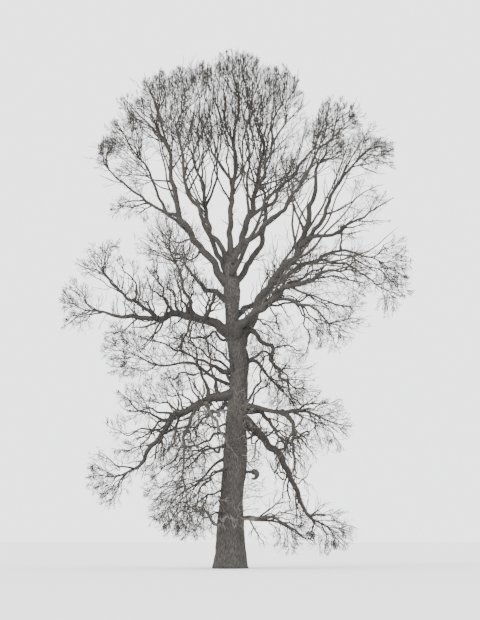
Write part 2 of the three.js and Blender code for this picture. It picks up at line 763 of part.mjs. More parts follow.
Object.entries(boughs).forEach(([name, bough]) => {
  let body = boughSolid(bough, 0);
  grownLimbs.forEach((limb) => {
    body = body.subtract(limb.body);
  });
  limbGroup.add(meshOf(name, largestPiece(body), bough.points[0], BOUGH_BARK));
  grownLimbs.push({ name, body: boughSolid(bough, JOINT_GAP) });
});

Object.values(masses).forEach((mass) => {
  let body = twigSolid(mass.stem, STEM_SIDES);
  mass.twigs.forEach((twig) => {
    body = body.add(twigSolid(twig, TWIG_SIDES));
  });
  if (mass.on === "trunk") {
    body = body.subtract(grownLimbs[0].body);
  }
  twigGroup.add(meshOf(mass.name, largestPiece(body), mass.root, TWIG_BARK));
});

group.add(limbGroup, twigGroup);

export default group;
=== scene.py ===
"""A great bare oak tree: furrowed trunk and boughs, and masses of fine leafless twigs."""

import logging
import math
from collections.abc import Sequence
from dataclasses import dataclass, field
from enum import Enum
from itertools import zip_longest

import bpy
import numpy as np
from numpy.linalg import norm
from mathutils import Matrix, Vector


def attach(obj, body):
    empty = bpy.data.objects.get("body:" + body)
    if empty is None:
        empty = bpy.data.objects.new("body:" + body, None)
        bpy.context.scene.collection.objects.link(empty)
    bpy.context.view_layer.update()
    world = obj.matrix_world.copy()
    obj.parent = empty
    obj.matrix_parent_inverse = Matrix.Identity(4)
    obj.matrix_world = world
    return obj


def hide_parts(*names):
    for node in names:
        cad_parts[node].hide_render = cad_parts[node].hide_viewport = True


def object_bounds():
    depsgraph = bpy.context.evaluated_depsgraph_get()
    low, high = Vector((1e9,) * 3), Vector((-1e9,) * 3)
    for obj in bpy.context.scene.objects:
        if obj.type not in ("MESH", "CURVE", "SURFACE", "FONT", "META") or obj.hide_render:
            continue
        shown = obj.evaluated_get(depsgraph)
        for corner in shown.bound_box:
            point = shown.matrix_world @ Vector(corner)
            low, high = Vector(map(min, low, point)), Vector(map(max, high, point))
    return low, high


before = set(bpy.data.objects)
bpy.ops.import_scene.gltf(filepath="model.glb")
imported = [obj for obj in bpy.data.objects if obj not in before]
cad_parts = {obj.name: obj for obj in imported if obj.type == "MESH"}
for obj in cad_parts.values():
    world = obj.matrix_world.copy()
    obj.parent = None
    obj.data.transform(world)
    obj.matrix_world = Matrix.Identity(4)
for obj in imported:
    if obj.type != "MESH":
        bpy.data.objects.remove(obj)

CAD_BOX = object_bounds()
LOG = logging.getLogger("oak")

Array = np.ndarray
Numbers = np.random.Generator
Piece = bpy.types.Object
Material = bpy.types.Material
Pair = tuple[float, float]
Place = tuple[float, float, float]
Colour = tuple[float, float, float, float]

# Whole tree, in metres
TREE_HEIGHT = 28.6
TRUNK_TOP = 17.0
CROWN_FOOT = 14.0
GROUND_CLEARANCE = 0.25
BOX_MARGIN = 0.02

# Seeded rule, which the solids follow too
SEED = 5200
BOUGH_SEED_STEP = 31
MASS_SEED_START = 7000
MASS_SEED_STEP = 97
BEND_SHARE = 0.36
SWAY_SHARE = 0.016
TWIG_SWAY = 0.035
SWAY_WAVES = (1.4, 1.2)
COLLAR_SHARE = 0.45
COLLAR_REACH = 1.6
TAPER_POWER = 0.9
TIP_RADIUS = 0.007
SIDE_TWIGS = 4
TWIG_TRIES = 5
TWIG_CLEARANCE = 0.012
GOLDEN_SHARE = 0.618034
GOLDEN_TURN = 2.399963
TRY_TURN = 1.3
ARRIVING_LIFT = 2.2

# Crooks, thin branches and visible stems, which only the scene has
BRANCH_SEED_START = 3100
STEM_POWER = 1.4
STEM_TIP = 0.012
MAIN_TWIG_TIP = 0.009
CROOK_WAVES = ((2.1, 1.0), (1.2, 0.55), (0.7, 0.3))
BOUGH_CROOK = (0.02, 0.22)
MAIN_TWIG_CROOK = (0.03, 0.2)
BRANCH_LIFT = 0.22
BRANCH_BARE = 0.15
MAIN_HOST_STEPS = 8
STEM_HOST_STEPS = 16
LIMB_HOST_STEPS = 40

# Numbers that stand for the twigs of no mass
CROWN_OWNER = 1000
LOW_OWNER = 1001
TRUNK_OWNER = 1002

# Camera at the photograph's distance and height
CAMERA_DISTANCE = 100.0
EYE_HEIGHT = 1.5

# Edge of the crown as the camera sees it: sideways place and height
CROWN_OUTLINE = (
    (-9.5, 18.0), (-7.6, 21.2), (-7.4, 23.0), (-6.8, 25.0), (-6.2, 26.4), (-5.6, 26.0), (-5.1, 26.2),
    (-4.8, 27.1), (-4.0, 27.4), (-3.4, 27.8), (-2.8, 27.9), (-2.1, 27.8), (-1.7, 28.0), (-0.9, 28.2),
    (-0.4, 28.6), (0.1, 29.1), (0.9, 29.2), (1.5, 29.0), (2.6, 28.4), (3.2, 27.9), (3.9, 27.1), (4.2, 26.0),
    (4.5, 24.6), (4.8, 25.0), (5.1, 25.9), (5.7, 26.3), (6.4, 26.0), (7.2, 25.3), (8.0, 24.5), (8.7, 23.8),
    (9.2, 23.1), (9.5, 20.8), (10.3, 19.6),
)
EDGE_RAGGED = 0.32
EDGE_WAVES = ((6.3, 2.1, 1.0), (14.7, -4.9, 0.7))

# Room that the finer twigs have, and how they crowd in it
EDGE_EASE = 2.2
EDGE_DEPTH = 0.8
LOW_EASE = 0.45
CALM_HEIGHTS = (13.0, 19.0)
CROOK_SHARES = (1.25, 0.5)
BRANCH_CELL = 0.9
TWIG_CELL = 0.45
CELL_MARGIN = 0.05
LIMB_ROOM = 1.8
LIMB_ROOM_RADIUS = 0.045
MASS_ROOM = 0.3
SHUT = 1e6
INNER_SHARES = (0.45, 0.15, 0.06)
INNER_START = 0.2
INNER_REACH = 0.55
END_ON_LOSS = 0.75

# How a finer twig finds its place on its parent
GROWTH_TRIES = 6
GROWTH_BATCHES = 4
TRY_LOSS = 0.06
ROOT_OUT = 0.7
TIP_WEIGHT = 0.6
MIDDLE_WEIGHT = 0.4
MIDDLE_SHARE = 0.65
LUCK = 0.1
CROOK_BLEND = (0.25, 0.6)
LEAST_BASE = 1.3
SIDE_TAPER_POWER = 0.8

# Limits of the arithmetic, and fixed directions
TINY = 1e-12
UPRIGHT = 0.9
UPRIGHT_CHORD = 0.05
UP = np.array([0.0, 0.0, 1.0])
RIGHT = np.array([1.0, 0.0, 0.0])


class Skin(Enum):
    """The record's material slots."""

    TRUNK = "trunk_bark"
    BOUGH = "bough_bark"
    TWIG = "twig_bark"


class Measure(Enum):
    """The trunk's sizes that change with height."""

    LEAN = "lean"
    DEPTH = "depth"
    RADIUS = "radius"


@dataclass(frozen=True)
class Station:
    """The trunk's sideways lean, lean in depth and radius at one height, in metres."""

    height: float
    lean: float
    depth: float
    radius: float


@dataclass(frozen=True)
class BoughSize:
    """One bough: where it leaves its parent, where it ends, its end directions, radii and crooks."""

    on: str
    at: float
    tip: Place
    leave: float
    arrive: float
    base: float
    end: float
    crook: float = 0.0


@dataclass(frozen=True)
class MassSize:
    """One mass of twigs: its named tips, spread and habit, and how one on the trunk leaves it."""

    tip: Place
    forks: tuple[Place, ...]
    spread: float
    lift: float
    at: float = 0.0
    leave: float = 90.0
    base: float = 0.1
    bare: float = 0.08


# Trunk: height, sideways lean, lean in depth and radius, in metres
STATIONS = (
    (0.0, 0.0, 0.0, 0.83),
    (1.43, 0.03, 0.0, 0.79),
    (2.53, 0.04, 0.0, 0.735),
    (3.9, 0.13, 0.02, 0.64),
    (5.83, 0.32, 0.04, 0.675),
    (8.03, 0.4, 0.06, 0.59),
    (10.23, 0.53, 0.06, 0.525),
    (11.6, 0.5, 0.04, 0.56),
    (12.8, 0.17, 0.02, 0.41),
    (14.1, 0.15, 0.0, 0.4),
    (15.18, 0.11, 0.02, 0.48),
    (16.2, 0.04, 0.04, 0.38),
    (TRUNK_TOP, 0.08, 0.06, 0.3),
)

# Boughs: name, parent, height or share on it, tip, angles, radii
BOUGHS = (
    ("left_leader", "trunk", 15.25, (-3.22, -1.3, 21.5), 130, 97, 0.225, 0.12),
    ("back_left_leader", "trunk", 15.85, (-1.46, 2.3, 21.0), 120, 93, 0.165, 0.105),
    ("front_left_leader", "trunk", 16.45, (-2.48, -2.3, 21.35), 112, 96, 0.16, 0.085),
    ("middle_leader", "trunk", 16.7, (0.25, 0.1, 21.45), 92, 82, 0.185, 0.115),
    ("right_middle_leader", "trunk", 16.6, (1.57, 1.3, 21.35), 64, 77, 0.24, 0.12),
    ("back_right_leader", "trunk", 15.05, (2.0, 3.3, 20.4), 66, 99, 0.205, 0.105),
    ("left_fork_bough", "left_leader", 0.52, (-4.54, 0.6, 22.05), 150, 110, 0.105, 0.062),
    ("left_upper_bough", "left_leader", 0.68, (-6.13, -2.4, 21.0), 174, 146, 0.095, 0.05),
    ("right_high_fork", "right_middle_leader", 0.9, (2.56, -0.9, 23.54), 56, 60, 0.095, 0.062),
    ("right_upper_bough", "right_middle_leader", 0.58, (4.43, 2.6, 23.27), 30, 52, 0.115, 0.072),
    ("right_inner_bough", "right_middle_leader", 0.26, (4.48, -2.5, 21.78), 34, 66, 0.15, 0.08),
    ("right_leader", "trunk", 11.9, (4.81, 0.7, 21.56), 70, 90, 0.29, 0.11),
    ("right_outer_bough", "right_leader", 0.63, (6.24, -1.5, 21.28), 32, 52, 0.145, 0.078),
    ("right_arch_bough", "right_leader", 0.38, (7.29, 1.7, 17.43), 24, -24, 0.15, 0.06),
    ("right_drooping_bough", "right_arch_bough", 0.52, (7.73, -0.7, 15.68), 4, -44, 0.085, 0.048),
    ("front_right_bough", "trunk", 12.5, (5.15, -3.6, 15.7), 60, 22, 0.27, 0.085),
    ("front_right_branch", "front_right_bough", 0.5, (4.87, -4.3, 13.25), -18, -56, 0.105, 0.058),
    ("left_long_bough", "trunk", 12.7, (-6.46, 0.7, 13.88), 136, 170, 0.29, 0.09),
    ("left_rising_bough", "left_long_bough", 0.64, (-6.41, -2.3, 15.35), 138, 128, 0.115, 0.062),
    ("front_left_bough", "left_long_bough", 0.34, (-2.6, -3.7, 15.5), 100, 104, 0.115, 0.066),
    ("left_low_bough", "trunk", 9.4, (-4.65, -0.9, 5.72), 178, 246, 0.265, 0.1),
    ("left_hanging_bough", "left_low_bough", 0.3, (-2.39, -2.7, 5.7), 228, 275, 0.12, 0.066),
    ("right_hanging_bough", "trunk", 8.35, (3.88, 0.9, 3.63), -34, -70, 0.265, 0.12),
    ("back_right_bough", "trunk", 13.65, (2.5, 4.3, 16.1), 40, 62, 0.185, 0.085),
    ("back_left_bough", "trunk", 14.45, (-2.3, 4.3, 16.9), 140, 118, 0.175, 0.085),
    ("front_high_bough", "trunk", 15.9, (1.7, -3.7, 18.7), 58, 64, 0.15, 0.078),
    ("back_low_bough", "trunk", 8.9, (-1.3, 4.4, 8.5), 165, 205, 0.165, 0.08),
)

# Twig masses at the boughs' tips, in the boughs' order: name, tip, tips of the forks, spread and lift
BOUGH_MASSES = (
    ("left_leader_twigs", (-4.65, -2.4, 26.85), ((-5.95, -3.3, 25.6), (-3.9, -1.7, 27.2)), 1.7, 0.3),
    ("back_left_leader_twigs", (-3.42, 4.0, 26.0), ((-1.0, 4.7, 25.4), (-2.3, 2.6, 27.1)), 1.8, 0.3),
    ("front_left_leader_twigs", (-2.45, -3.3, 27.6), ((-3.4, -4.7, 25.6), (-1.7, -2.0, 27.9)), 1.4, 0.3),
    ("middle_leader_twigs", (0.17, 0.0, TREE_HEIGHT), ((-0.9, -0.5, 28.05), (0.9, -0.3, 28.35)), 1.3, 0.35),
    ("right_middle_leader_twigs", (1.75, 2.3, 28.1), ((2.6, 3.5, 26.5), (0.7, 3.1, 27.3)), 1.4, 0.3),
    ("back_right_leader_twigs", (2.0, 5.7, 24.5), ((0.5, 6.5, 23.3), (3.4, 6.4, 23.3)), 1.9, 0.25),
    ("left_fork_twigs", (-6.35, 1.5, 24.8), ((-5.3, 2.5, 25.5), (-5.6, 0.4, 25.9)), 1.3, 0.2),
    ("left_upper_twigs", (-7.25, -2.7, 22.95), ((-7.0, -3.7, 21.6), (-6.2, -3.9, 23.0)), 1.3, 0.05),
    ("right_high_twigs", (3.78, -2.6, 27.0), ((4.15, -3.3, 25.3), (2.65, -3.0, 27.5)), 1.4, 0.3),
    ("right_upper_twigs", (5.65, 3.7, 26.05), ((6.3, 4.8, 24.5), (5.1, 4.9, 25.2)), 1.3, 0.25),
    ("right_inner_twigs", (6.9, -4.0, 25.15), ((5.4, -4.8, 24.9), (6.7, -5.3, 23.6)), 1.4, 0.2),
    ("right_leader_twigs", (5.95, 0.9, 24.35), ((4.7, 1.5, 24.5), (6.9, 2.4, 23.4)), 1.3, 0.2),
    ("right_outer_twigs", (8.75, -1.8, 23.6), ((9.15, -1.1, 22.2), (7.65, -2.9, 24.0)), 1.5, 0.1),
    ("right_arch_twigs", (10.2, 2.1, 17.05), ((9.5, 3.4, 18.9), (9.7, 0.9, 16.1)), 1.7, 0.0),
    ("right_drooping_twigs", (9.35, -1.6, 14.1), ((9.35, -2.6, 15.5), (8.3, -2.7, 14.2)), 1.3, -0.1),
    ("front_right_twigs", (7.5, -5.3, 15.3), ((7.0, -6.7, 16.5), (5.7, -6.5, 17.2)), 1.6, 0.05),
    ("front_right_low_twigs", (6.6, -5.2, 12.05), ((5.5, -6.3, 11.5), (7.1, -6.3, 13.5)), 1.4, -0.05),
    ("left_long_twigs", (-9.48, 1.2, 14.8), ((-8.65, 2.6, 13.6), (-8.8, 0.5, 16.0)), 1.5, 0.12),
    ("left_rising_twigs", (-7.35, -3.3, 17.2), ((-8.3, -4.4, 16.1), (-6.0, -4.6, 17.1)), 1.6, 0.15),
    ("front_left_twigs", (-3.2, -6.9, 18.1), ((-4.4, -7.3, 16.7), (-1.9, -7.6, 17.0)), 1.9, 0.15),
    ("left_low_twigs", (-7.7, -1.6, 4.8), ((-6.9, -3.3, 6.1), (-6.6, -0.2, 3.3)), 1.7, -0.05),
    ("left_hanging_twigs", (-2.7, -4.6, 1.9), ((-3.9, -5.5, 3.4), (-1.5, -5.3, 3.0)), 1.7, -0.25),
    ("right_hanging_twigs", (6.35, 1.5, 1.15), ((6.2, 0.2, 2.9), (4.7, 2.4, 1.3)), 1.3, -0.2),
    ("back_right_twigs", (3.9, 8.3, 18.3), ((5.5, 7.4, 17.0), (2.1, 8.5, 16.7)), 2.0, 0.15),
    ("back_left_twigs", (-3.9, 8.1, 19.5), ((-5.6, 6.9, 18.5), (-2.2, 8.5, 18.1)), 2.0, 0.15),
    ("front_high_twigs", (2.9, -7.2, 21.7), ((4.3, -6.7, 20.3), (1.3, -7.6, 20.3)), 1.9, 0.2),
    ("back_low_twigs", (-2.3, 8.0, 6.9), ((-3.9, 7.2, 7.6), (-0.7, 7.9, 8.3)), 1.9, -0.05),
)

# Twig masses on the trunk: the same, then height, leaving angle, base radius and bare share
TRUNK_MASSES = (
    ("left_thin_twigs", (-6.8, 1.7, 12.15), ((-6.1, 3.0, 11.0), (-5.8, 0.9, 13.0)),
     1.5, 0.05, 9.65, 140, 0.11, 0.4),
    ("right_chain_twigs", (3.77, -0.9, 8.45), ((4.6, -1.7, 10.0), (3.0, -2.6, 9.6)),
     1.2, -0.1, 11.1, 30, 0.12, 0.35),
    ("right_low_twigs", (6.3, -3.5, 7.5), ((5.6, -4.9, 8.7), (4.9, -4.2, 6.2)),
     1.5, 0.0, 8.7, 8, 0.17, 0.4),
    ("right_foot_twigs", (4.55, -0.9, 1.5), ((4.0, -2.2, 2.7), (4.3, 0.4, 2.3)),
     1.1, -0.1, 2.35, 45, 0.105, 0.3),
    ("left_foot_twigs", (-3.95, 0.9, 2.5), ((-4.3, 2.6, 3.7), (-2.5, 2.1, 1.7)),
     1.6, -0.2, 6.1, 200, 0.09, 0.25),
)

# Thin branches: name, parent, height or share on it, tip, angles, radii, crook
BRANCHES = (
    ("left_leader_side_branch", "left_leader", 0.93, (-6.3, -0.6, 21.9), 165, 150, 0.055, 0.016),
    ("left_leader_low_branch", "left_leader", 0.86, (-6.46, -2.2, 22.45), 172, 160, 0.045, 0.014),
    ("left_hanging_spray", "left_upper_bough", 0.45, (-6.2, -2.8, 18.95), 202, 240, 0.055, 0.014),
    ("left_trailing_spray", "left_upper_bough", 0.52, (-6.1, -1.2, 19.6), 190, 225, 0.05, 0.014),
    ("left_drooping_spray", "left_upper_bough", 0.4, (-4.9, -2.5, 18.9), 250, 280, 0.05, 0.014),
    ("middle_crossing_branch", "middle_leader", 0.96, (-1.8, -1.6, 27.6), 132, 86, 0.07, 0.015),
    ("middle_left_branch", "middle_leader", 0.7, (-1.2, 1.6, 25.9), 120, 84, 0.06, 0.015),
    ("middle_right_branch", "middle_leader", 0.8, (1.1, -1.9, 26.3), 55, 88, 0.065, 0.015),
    ("front_left_inner_branch", "front_left_leader", 0.8, (-0.9, -2.9, 25.3), 60, 92, 0.06, 0.015),
    ("right_middle_side_branch", "right_middle_leader", 0.75, (0.6, 2.4, 25.6), 110, 84, 0.065, 0.015),
    ("right_middle_link_branch", "right_middle_leader", 0.84, (4.3, 0.4, 22.6), 20, 30, 0.06, 0.018),
    ("right_level_branch", "right_middle_leader", 0.98, (4.5, 0.9, 21.95), 8, -4, 0.055, 0.02),
    ("right_outer_side_branch", "right_outer_bough", 0.16, (8.94, -2.2, 19.97), -4, 26, 0.12, 0.02),
    ("right_outer_low_branch", "right_outer_bough", 0.5, (8.5, -0.4, 21.0), 12, 10, 0.06, 0.016),
    ("right_leader_inner_branch", "right_leader", 0.72, (3.3, 1.6, 21.9), 112, 80, 0.08, 0.02),
    ("right_arch_low_branch", "right_arch_bough", 0.7, (9.3, 2.9, 16.0), -8, -40, 0.06, 0.018),
    ("front_right_side_branch", "front_right_bough", 0.78, (7.45, -4.3, 14.85), 26, -22, 0.07, 0.018),
    ("front_right_under_branch", "front_right_bough", 0.68, (7.1, -3.5, 13.85), -22, 8, 0.07, 0.018),
    ("front_right_inner_branch", "front_right_bough", 0.42, (2.7, -2.6, 12.4), -50, -80, 0.05, 0.016),
    ("left_long_riser", "left_long_bough", 0.52, (-4.0, -0.9, 16.9), 122, 92, 0.075, 0.02, 0.07),
    ("left_long_outer_riser", "left_long_bough", 0.64, (-5.2, 1.9, 15.6), 118, 96, 0.07, 0.018, 0.07),
    ("left_long_inner_riser", "left_long_bough", 0.38, (-1.9, 1.6, 16.4), 105, 90, 0.075, 0.02, 0.07),
    ("left_long_low_branch", "left_long_bough", 0.8, (-6.9, 0.1, 12.6), 222, 186, 0.05, 0.014),
    ("left_thin_high_branch", "trunk", 9.85, (-2.9, 1.5, 12.7), 112, 150, 0.09, 0.024, 0.03),
    ("left_low_side_branch", "left_low_bough", 0.62, (-5.9, -2.3, 9.4), 168, 135, 0.08, 0.02),
    ("left_low_riser", "left_low_bough", 0.24, (-2.2, -1.5, 13.2), 100, 96, 0.095, 0.024, 0.03),
    ("left_low_inner_riser", "left_low_bough", 0.16, (-1.3, -1.5, 13.1), 98, 90, 0.085, 0.022, 0.03),
    ("left_low_outer_riser", "left_low_bough", 0.45, (-3.3, -0.5, 10.9), 118, 84, 0.06, 0.014, 0.07),
    ("front_stooping_branch", "left_low_bough", 0.28, (0.45, -2.3, 5.9), -56, -48, 0.11, 0.03, 0.04),
    ("right_riser", "trunk", 8.75, (1.9, -1.1, 12.2), 22, 88, 0.085, 0.02, 0.08),
    ("right_outer_riser", "trunk", 8.7, (2.6, -1.5, 11.6), 16, 84, 0.07, 0.018, 0.08),
    ("right_arched_branch", "trunk", 8.6, (3.4, -1.1, 5.9), 12, -62, 0.15, 0.04, 0.05),
    ("left_knee_branch", "trunk", 6.9, (-3.2, -2.0, 4.4), 196, 238, 0.08, 0.02),
    ("left_shin_branch", "trunk", 5.3, (-3.0, -2.4, 3.2), 176, 222, 0.07, 0.018),
    ("back_knee_branch", "trunk", 6.3, (1.3, 3.9, 5.6), 20, -30, 0.08, 0.02),
    ("right_low_arch", "trunk", 2.1, (3.9, -1.5, 1.75), 64, -44, 0.15, 0.04),
    ("left_short_branch", "left_long_bough", 0.25, (-0.75, -1.5, 14.95), 48, 62, 0.13, 0.06),
    ("left_first_shoot", "left_long_bough", 0.58, (-4.6, -1.2, 15.9), 66, 112, 0.08, 0.02, 0.07),
    ("left_second_shoot", "left_long_bough", 0.46, (-3.3, 1.3, 16.2), 108, 70, 0.08, 0.02, 0.07),
    ("left_third_shoot", "left_long_bough", 0.37, (-2.6, -1.8, 15.9), 122, 76, 0.08, 0.02, 0.07),
    ("left_fourth_shoot", "left_long_bough", 0.25, (-1.5, 0.5, 15.9), 78, 108, 0.075, 0.02, 0.07),
    ("left_fifth_shoot", "left_rising_bough", 0.5, (-5.9, -1.4, 16.9), 62, 100, 0.065, 0.018, 0.07),
    ("left_hanging_stick", "left_long_bough", 0.35, (-3.1, -1.0, 11.3), 252, 232, 0.08, 0.03),
    ("left_leader_hanging_branch", "left_leader", 0.42, (-3.7, -1.7, 17.5), 168, 204, 0.075, 0.016, 0.07),
    ("left_leader_drooping_branch", "left_leader", 0.36, (-3.1, 0.8, 16.2), 205, 248, 0.065, 0.016, 0.07),
    ("left_thin_low_branch", "trunk", 9.75, (-5.0, -0.6, 12.6), 128, 158, 0.1, 0.028, 0.03),
    ("left_thin_steep_branch", "trunk", 10.0, (-2.0, -1.8, 13.3), 104, 122, 0.085, 0.022, 0.03),
    ("right_hanging_chain", "right_leader", 0.13, (3.8, -1.9, 8.7), -42, -50, 0.14, 0.035, 0.12),
    ("right_chain_side_branch", "right_hanging_chain", 0.5, (4.7, -2.7, 9.4), -44, 14, 0.065, 0.016, 0.06),
    ("right_chain_inner_branch", "right_hanging_chain", 0.4, (2.9, -1.0, 9.5), -96, -52, 0.06, 0.018, 0.08),
    ("right_link_branch", "right_arch_bough", 0.8, (6.4, 0.6, 18.95), 96, 62, 0.06, 0.035),
    ("front_right_rising_branch", "front_right_bough", 0.45, (5.2, -3.0, 16.9), 66, 40, 0.08, 0.018, 0.07),
    ("front_right_middle_branch", "front_right_bough", 0.6, (6.9, -2.9, 16.4), 34, 6, 0.085, 0.018, 0.07),
    ("right_low_down_branch", "right_low_twigs", 0.4, (3.5, -2.2, 5.2), -28, -78, 0.14, 0.05, 0.05),
    ("right_low_up_branch", "right_low_twigs", 0.46, (5.2, -1.6, 8.9), 40, 24, 0.08, 0.02, 0.05),
    ("right_low_near_branch", "right_low_down_branch", 0.45, (4.75, -3.2, 7.6), -20, 30, 0.07, 0.02, 0.05),
    ("fork_middle_branch", "front_right_bough", 0.34, (6.8, -3.0, 13.5), 14, -42, 0.075, 0.018, 0.08),
    ("fork_low_branch", "front_right_branch", 0.22, (5.7, -1.6, 12.3), -12, -48, 0.06, 0.016, 0.08),
    ("fork_hanging_branch", "front_right_bough", 0.26, (2.8, -1.8, 12.1), -52, -112, 0.06, 0.016, 0.1),
    ("fork_curling_branch", "front_right_branch", 0.5, (3.7, -3.0, 11.1), -76, -156, 0.055, 0.014, 0.06),
    ("fork_rising_branch", "front_right_bough", 0.32, (5.0, -2.2, 16.1), 58, 24, 0.055, 0.014, 0.07),
    ("left_low_first_riser", "left_low_bough", 0.5, (-4.9, -1.0, 9.6), 128, 100, 0.065, 0.014, 0.08),
    ("left_low_second_riser", "left_low_bough", 0.72, (-6.6, -1.9, 7.7), 162, 124, 0.06, 0.014, 0.06),
    ("left_low_third_riser", "left_low_bough", 0.38, (-3.6, 0.3, 10.2), 112, 80, 0.06, 0.014, 0.08),
    ("left_low_inner_droop", "left_low_bough", 0.36, (-3.4, -0.2, 6.2), 238, 262, 0.065, 0.016, 0.1),
    ("left_low_outer_droop", "left_low_bough", 0.6, (-6.0, -1.0, 6.2), 222, 192, 0.065, 0.016, 0.06),
    ("left_hanging_side_branch", "left_hanging_bough", 0.42, (-3.9, -3.2, 5.2), 214, 240, 0.065, 0.016, 0.08),
    ("left_hanging_inner_branch", "left_hanging_bough", 0.5, (-1.1, -3.2, 4.6), -58, -86, 0.06, 0.016, 0.08),
    ("left_low_crossing_branch", "trunk", 7.6, (-3.4, -1.4, 6.9), 168, 214, 0.07, 0.016, 0.1),
    ("left_shin_low_branch", "trunk", 4.3, (-3.6, -1.9, 2.1), 186, 220, 0.065, 0.016, 0.07),
    ("left_foot_rising_branch", "trunk", 2.0, (-2.5, -2.0, 3.6), 146, 150, 0.1, 0.025, 0.03),
    ("top_middle_branch", "middle_leader", 0.92, (0.75, -1.0, 28.5), 62, 88, 0.06, 0.014, 0.03),
    ("top_right_branch", "right_middle_leader", 0.9, (1.5, 0.5, 28.45), 74, 92, 0.06, 0.014, 0.03),
    ("top_left_branch", "front_left_leader", 0.9, (-0.95, -1.4, 27.9), 66, 92, 0.055, 0.014, 0.03),
    ("top_back_branch", "back_left_leader", 0.9, (-0.55, 0.9, 28.2), 64, 88, 0.055, 0.014, 0.03),
    ("top_far_right_branch", "right_middle_leader", 0.97, (2.65, 0.1, 27.9), 52, 78, 0.055, 0.014, 0.03),
    ("top_near_left_branch", "middle_leader", 0.85, (-0.2, -0.9, 28.45), 104, 92, 0.06, 0.014, 0.03),
    ("top_near_right_branch", "middle_leader", 0.96, (1.3, -0.5, 28.5), 46, 82, 0.055, 0.014, 0.03),
    ("top_far_branch", "right_middle_leader", 0.93, (0.5, 0.9, 28.5), 104, 94, 0.055, 0.014, 0.03),
    ("top_outer_branch", "right_high_fork", 0.8, (3.3, -0.8, 27.5), 92, 84, 0.055, 0.014, 0.03),
    ("back_left_shoulder_branch", "trunk", 12.2, (-4.3, 4.3, 13.1), 142, 168, 0.09, 0.02, 0.1),
    ("back_left_waist_branch", "trunk", 10.4, (-3.9, 3.6, 10.6), 150, 186, 0.09, 0.02, 0.1),
    ("back_right_waist_branch", "trunk", 10.9, (4.3, 3.9, 12.3), 38, -8, 0.09, 0.02, 0.1),
    ("back_right_knee_branch", "trunk", 6.9, (3.7, 4.5, 7.4), 30, -14, 0.085, 0.02, 0.1),
    ("back_left_knee_branch", "trunk", 6.4, (-3.5, 4.3, 5.5), 158, 214, 0.085, 0.02, 0.1),
    ("back_foot_branch", "trunk", 3.6, (-1.1, 4.4, 3.3), 140, 214, 0.075, 0.018, 0.08),
    ("front_waist_branch", "trunk", 8.2, (-1.9, -4.6, 7.9), 160, 214, 0.08, 0.018, 0.1),
    ("top_notch_branch", "middle_leader", 0.94, (-1.25, 0.3, 28.0), 128, 90, 0.06, 0.014, 0.03),
    ("top_low_notch_branch", "front_left_leader", 0.95, (-1.3, -1.9, 26.8), 74, 96, 0.055, 0.014, 0.03),
    ("left_shoulder_branch", "left_leader_twigs", 0.3, (-5.8, -1.5, 25.7), 136, 104, 0.06, 0.014, 0.03),
    ("left_shoulder_low_branch", "left_fork_twigs", 0.25, (-6.3, 0.4, 24.9), 120, 98, 0.05, 0.014, 0.03),
    ("left_shoulder_outer_branch", "left_upper_twigs", 0.3, (-6.7, -1.8, 23.6), 96, 104, 0.045, 0.014, 0.03),
    ("fork_low_hanging_branch", "front_right_branch", 0.36, (4.9, -2.6, 11.7), -58, -96, 0.055, 0.014, 0.08),
    ("fork_near_hanging_branch", "front_right_bough", 0.2, (2.1, -2.3, 11.8), -66, -98, 0.055, 0.014, 0.1),
    ("fork_upper_branch", "front_right_bough", 0.38, (4.3, -3.4, 16.4), 84, 58, 0.055, 0.014, 0.06),
    ("left_low_crown_branch", "left_low_bough", 0.56, (-6.1, 0.6, 9.0), 146, 128, 0.07, 0.016, 0.05),
    ("left_low_drooping_branch", "left_low_bough", 0.46, (-4.6, 0.5, 5.0), 226, 252, 0.07, 0.016, 0.07),
    ("left_knee_low_branch", "trunk", 5.7, (-2.3, -2.6, 3.0), 206, 248, 0.075, 0.018, 0.07),
    ("left_knee_crossing_branch", "trunk", 7.2, (-4.2, -2.5, 4.6), 172, 226, 0.085, 0.018, 0.07),
    ("left_foot_inner_branch", "trunk", 3.1, (-1.9, -1.8, 2.0), 170, 232, 0.06, 0.014, 0.06),
    ("middle_inner_branch", "back_left_leader", 0.86, (-0.95, 0.7, 26.2), 58, 98, 0.08, 0.016),
    ("right_middle_inner_branch", "right_middle_leader", 0.62, (1.3, -0.4, 26.9), 96, 84, 0.085, 0.016),
)


class Seeded:
    """Seeded numbers between 0 and 1, the same ones that grow the solids."""

    WORD = 0xFFFFFFFF
    STEP = 0x6D2B79F5

    def __init__(self, seed: int) -> None:
        """Starts the row of numbers that one whole number fixes."""
        self.state = seed & self.WORD

    def __call__(self) -> float:
        """Gives the next number.

        Returns:
            A number from 0 up to, but not including, 1.
        """
        self.state = (self.state + self.STEP) & self.WORD
        mixed = ((self.state ^ (self.state >> 15)) * (self.state | 1)) & self.WORD
        mixed = (mixed ^ (mixed + (((mixed ^ (mixed >> 7)) * (mixed | 61)) & self.WORD))) & self.WORD
        return ((mixed ^ (mixed >> 14)) & self.WORD) / (self.WORD + 1)


def unit(vector: Array) -> Array:
    """Scales one vector, or an array of them along its last axis, to length 1."""
    return vector / np.maximum(norm(vector, axis=-1, keepdims=True), TINY)


def front_direction(degrees: float, depth: float) -> Array:
    """Direction at an angle seen from the front, 0 to the tree's right and 90 up, and its slope in depth."""
    angle = math.radians(degrees)
    return unit(np.array([math.cos(angle), depth, math.sin(angle)]))


def steady_axis(directions: Array) -> Array:
    """An axis well away from each direction: up, or the tree's right where the direction is upright."""
    return np.where(np.abs(directions[..., 2:]) < UPRIGHT, UP, RIGHT)


def between(limits: Pair, share: Array) -> Array:
    """Values at shares of the way from a low limit to a high one."""
    return limits[0] + (limits[1] - limits[0]) * share


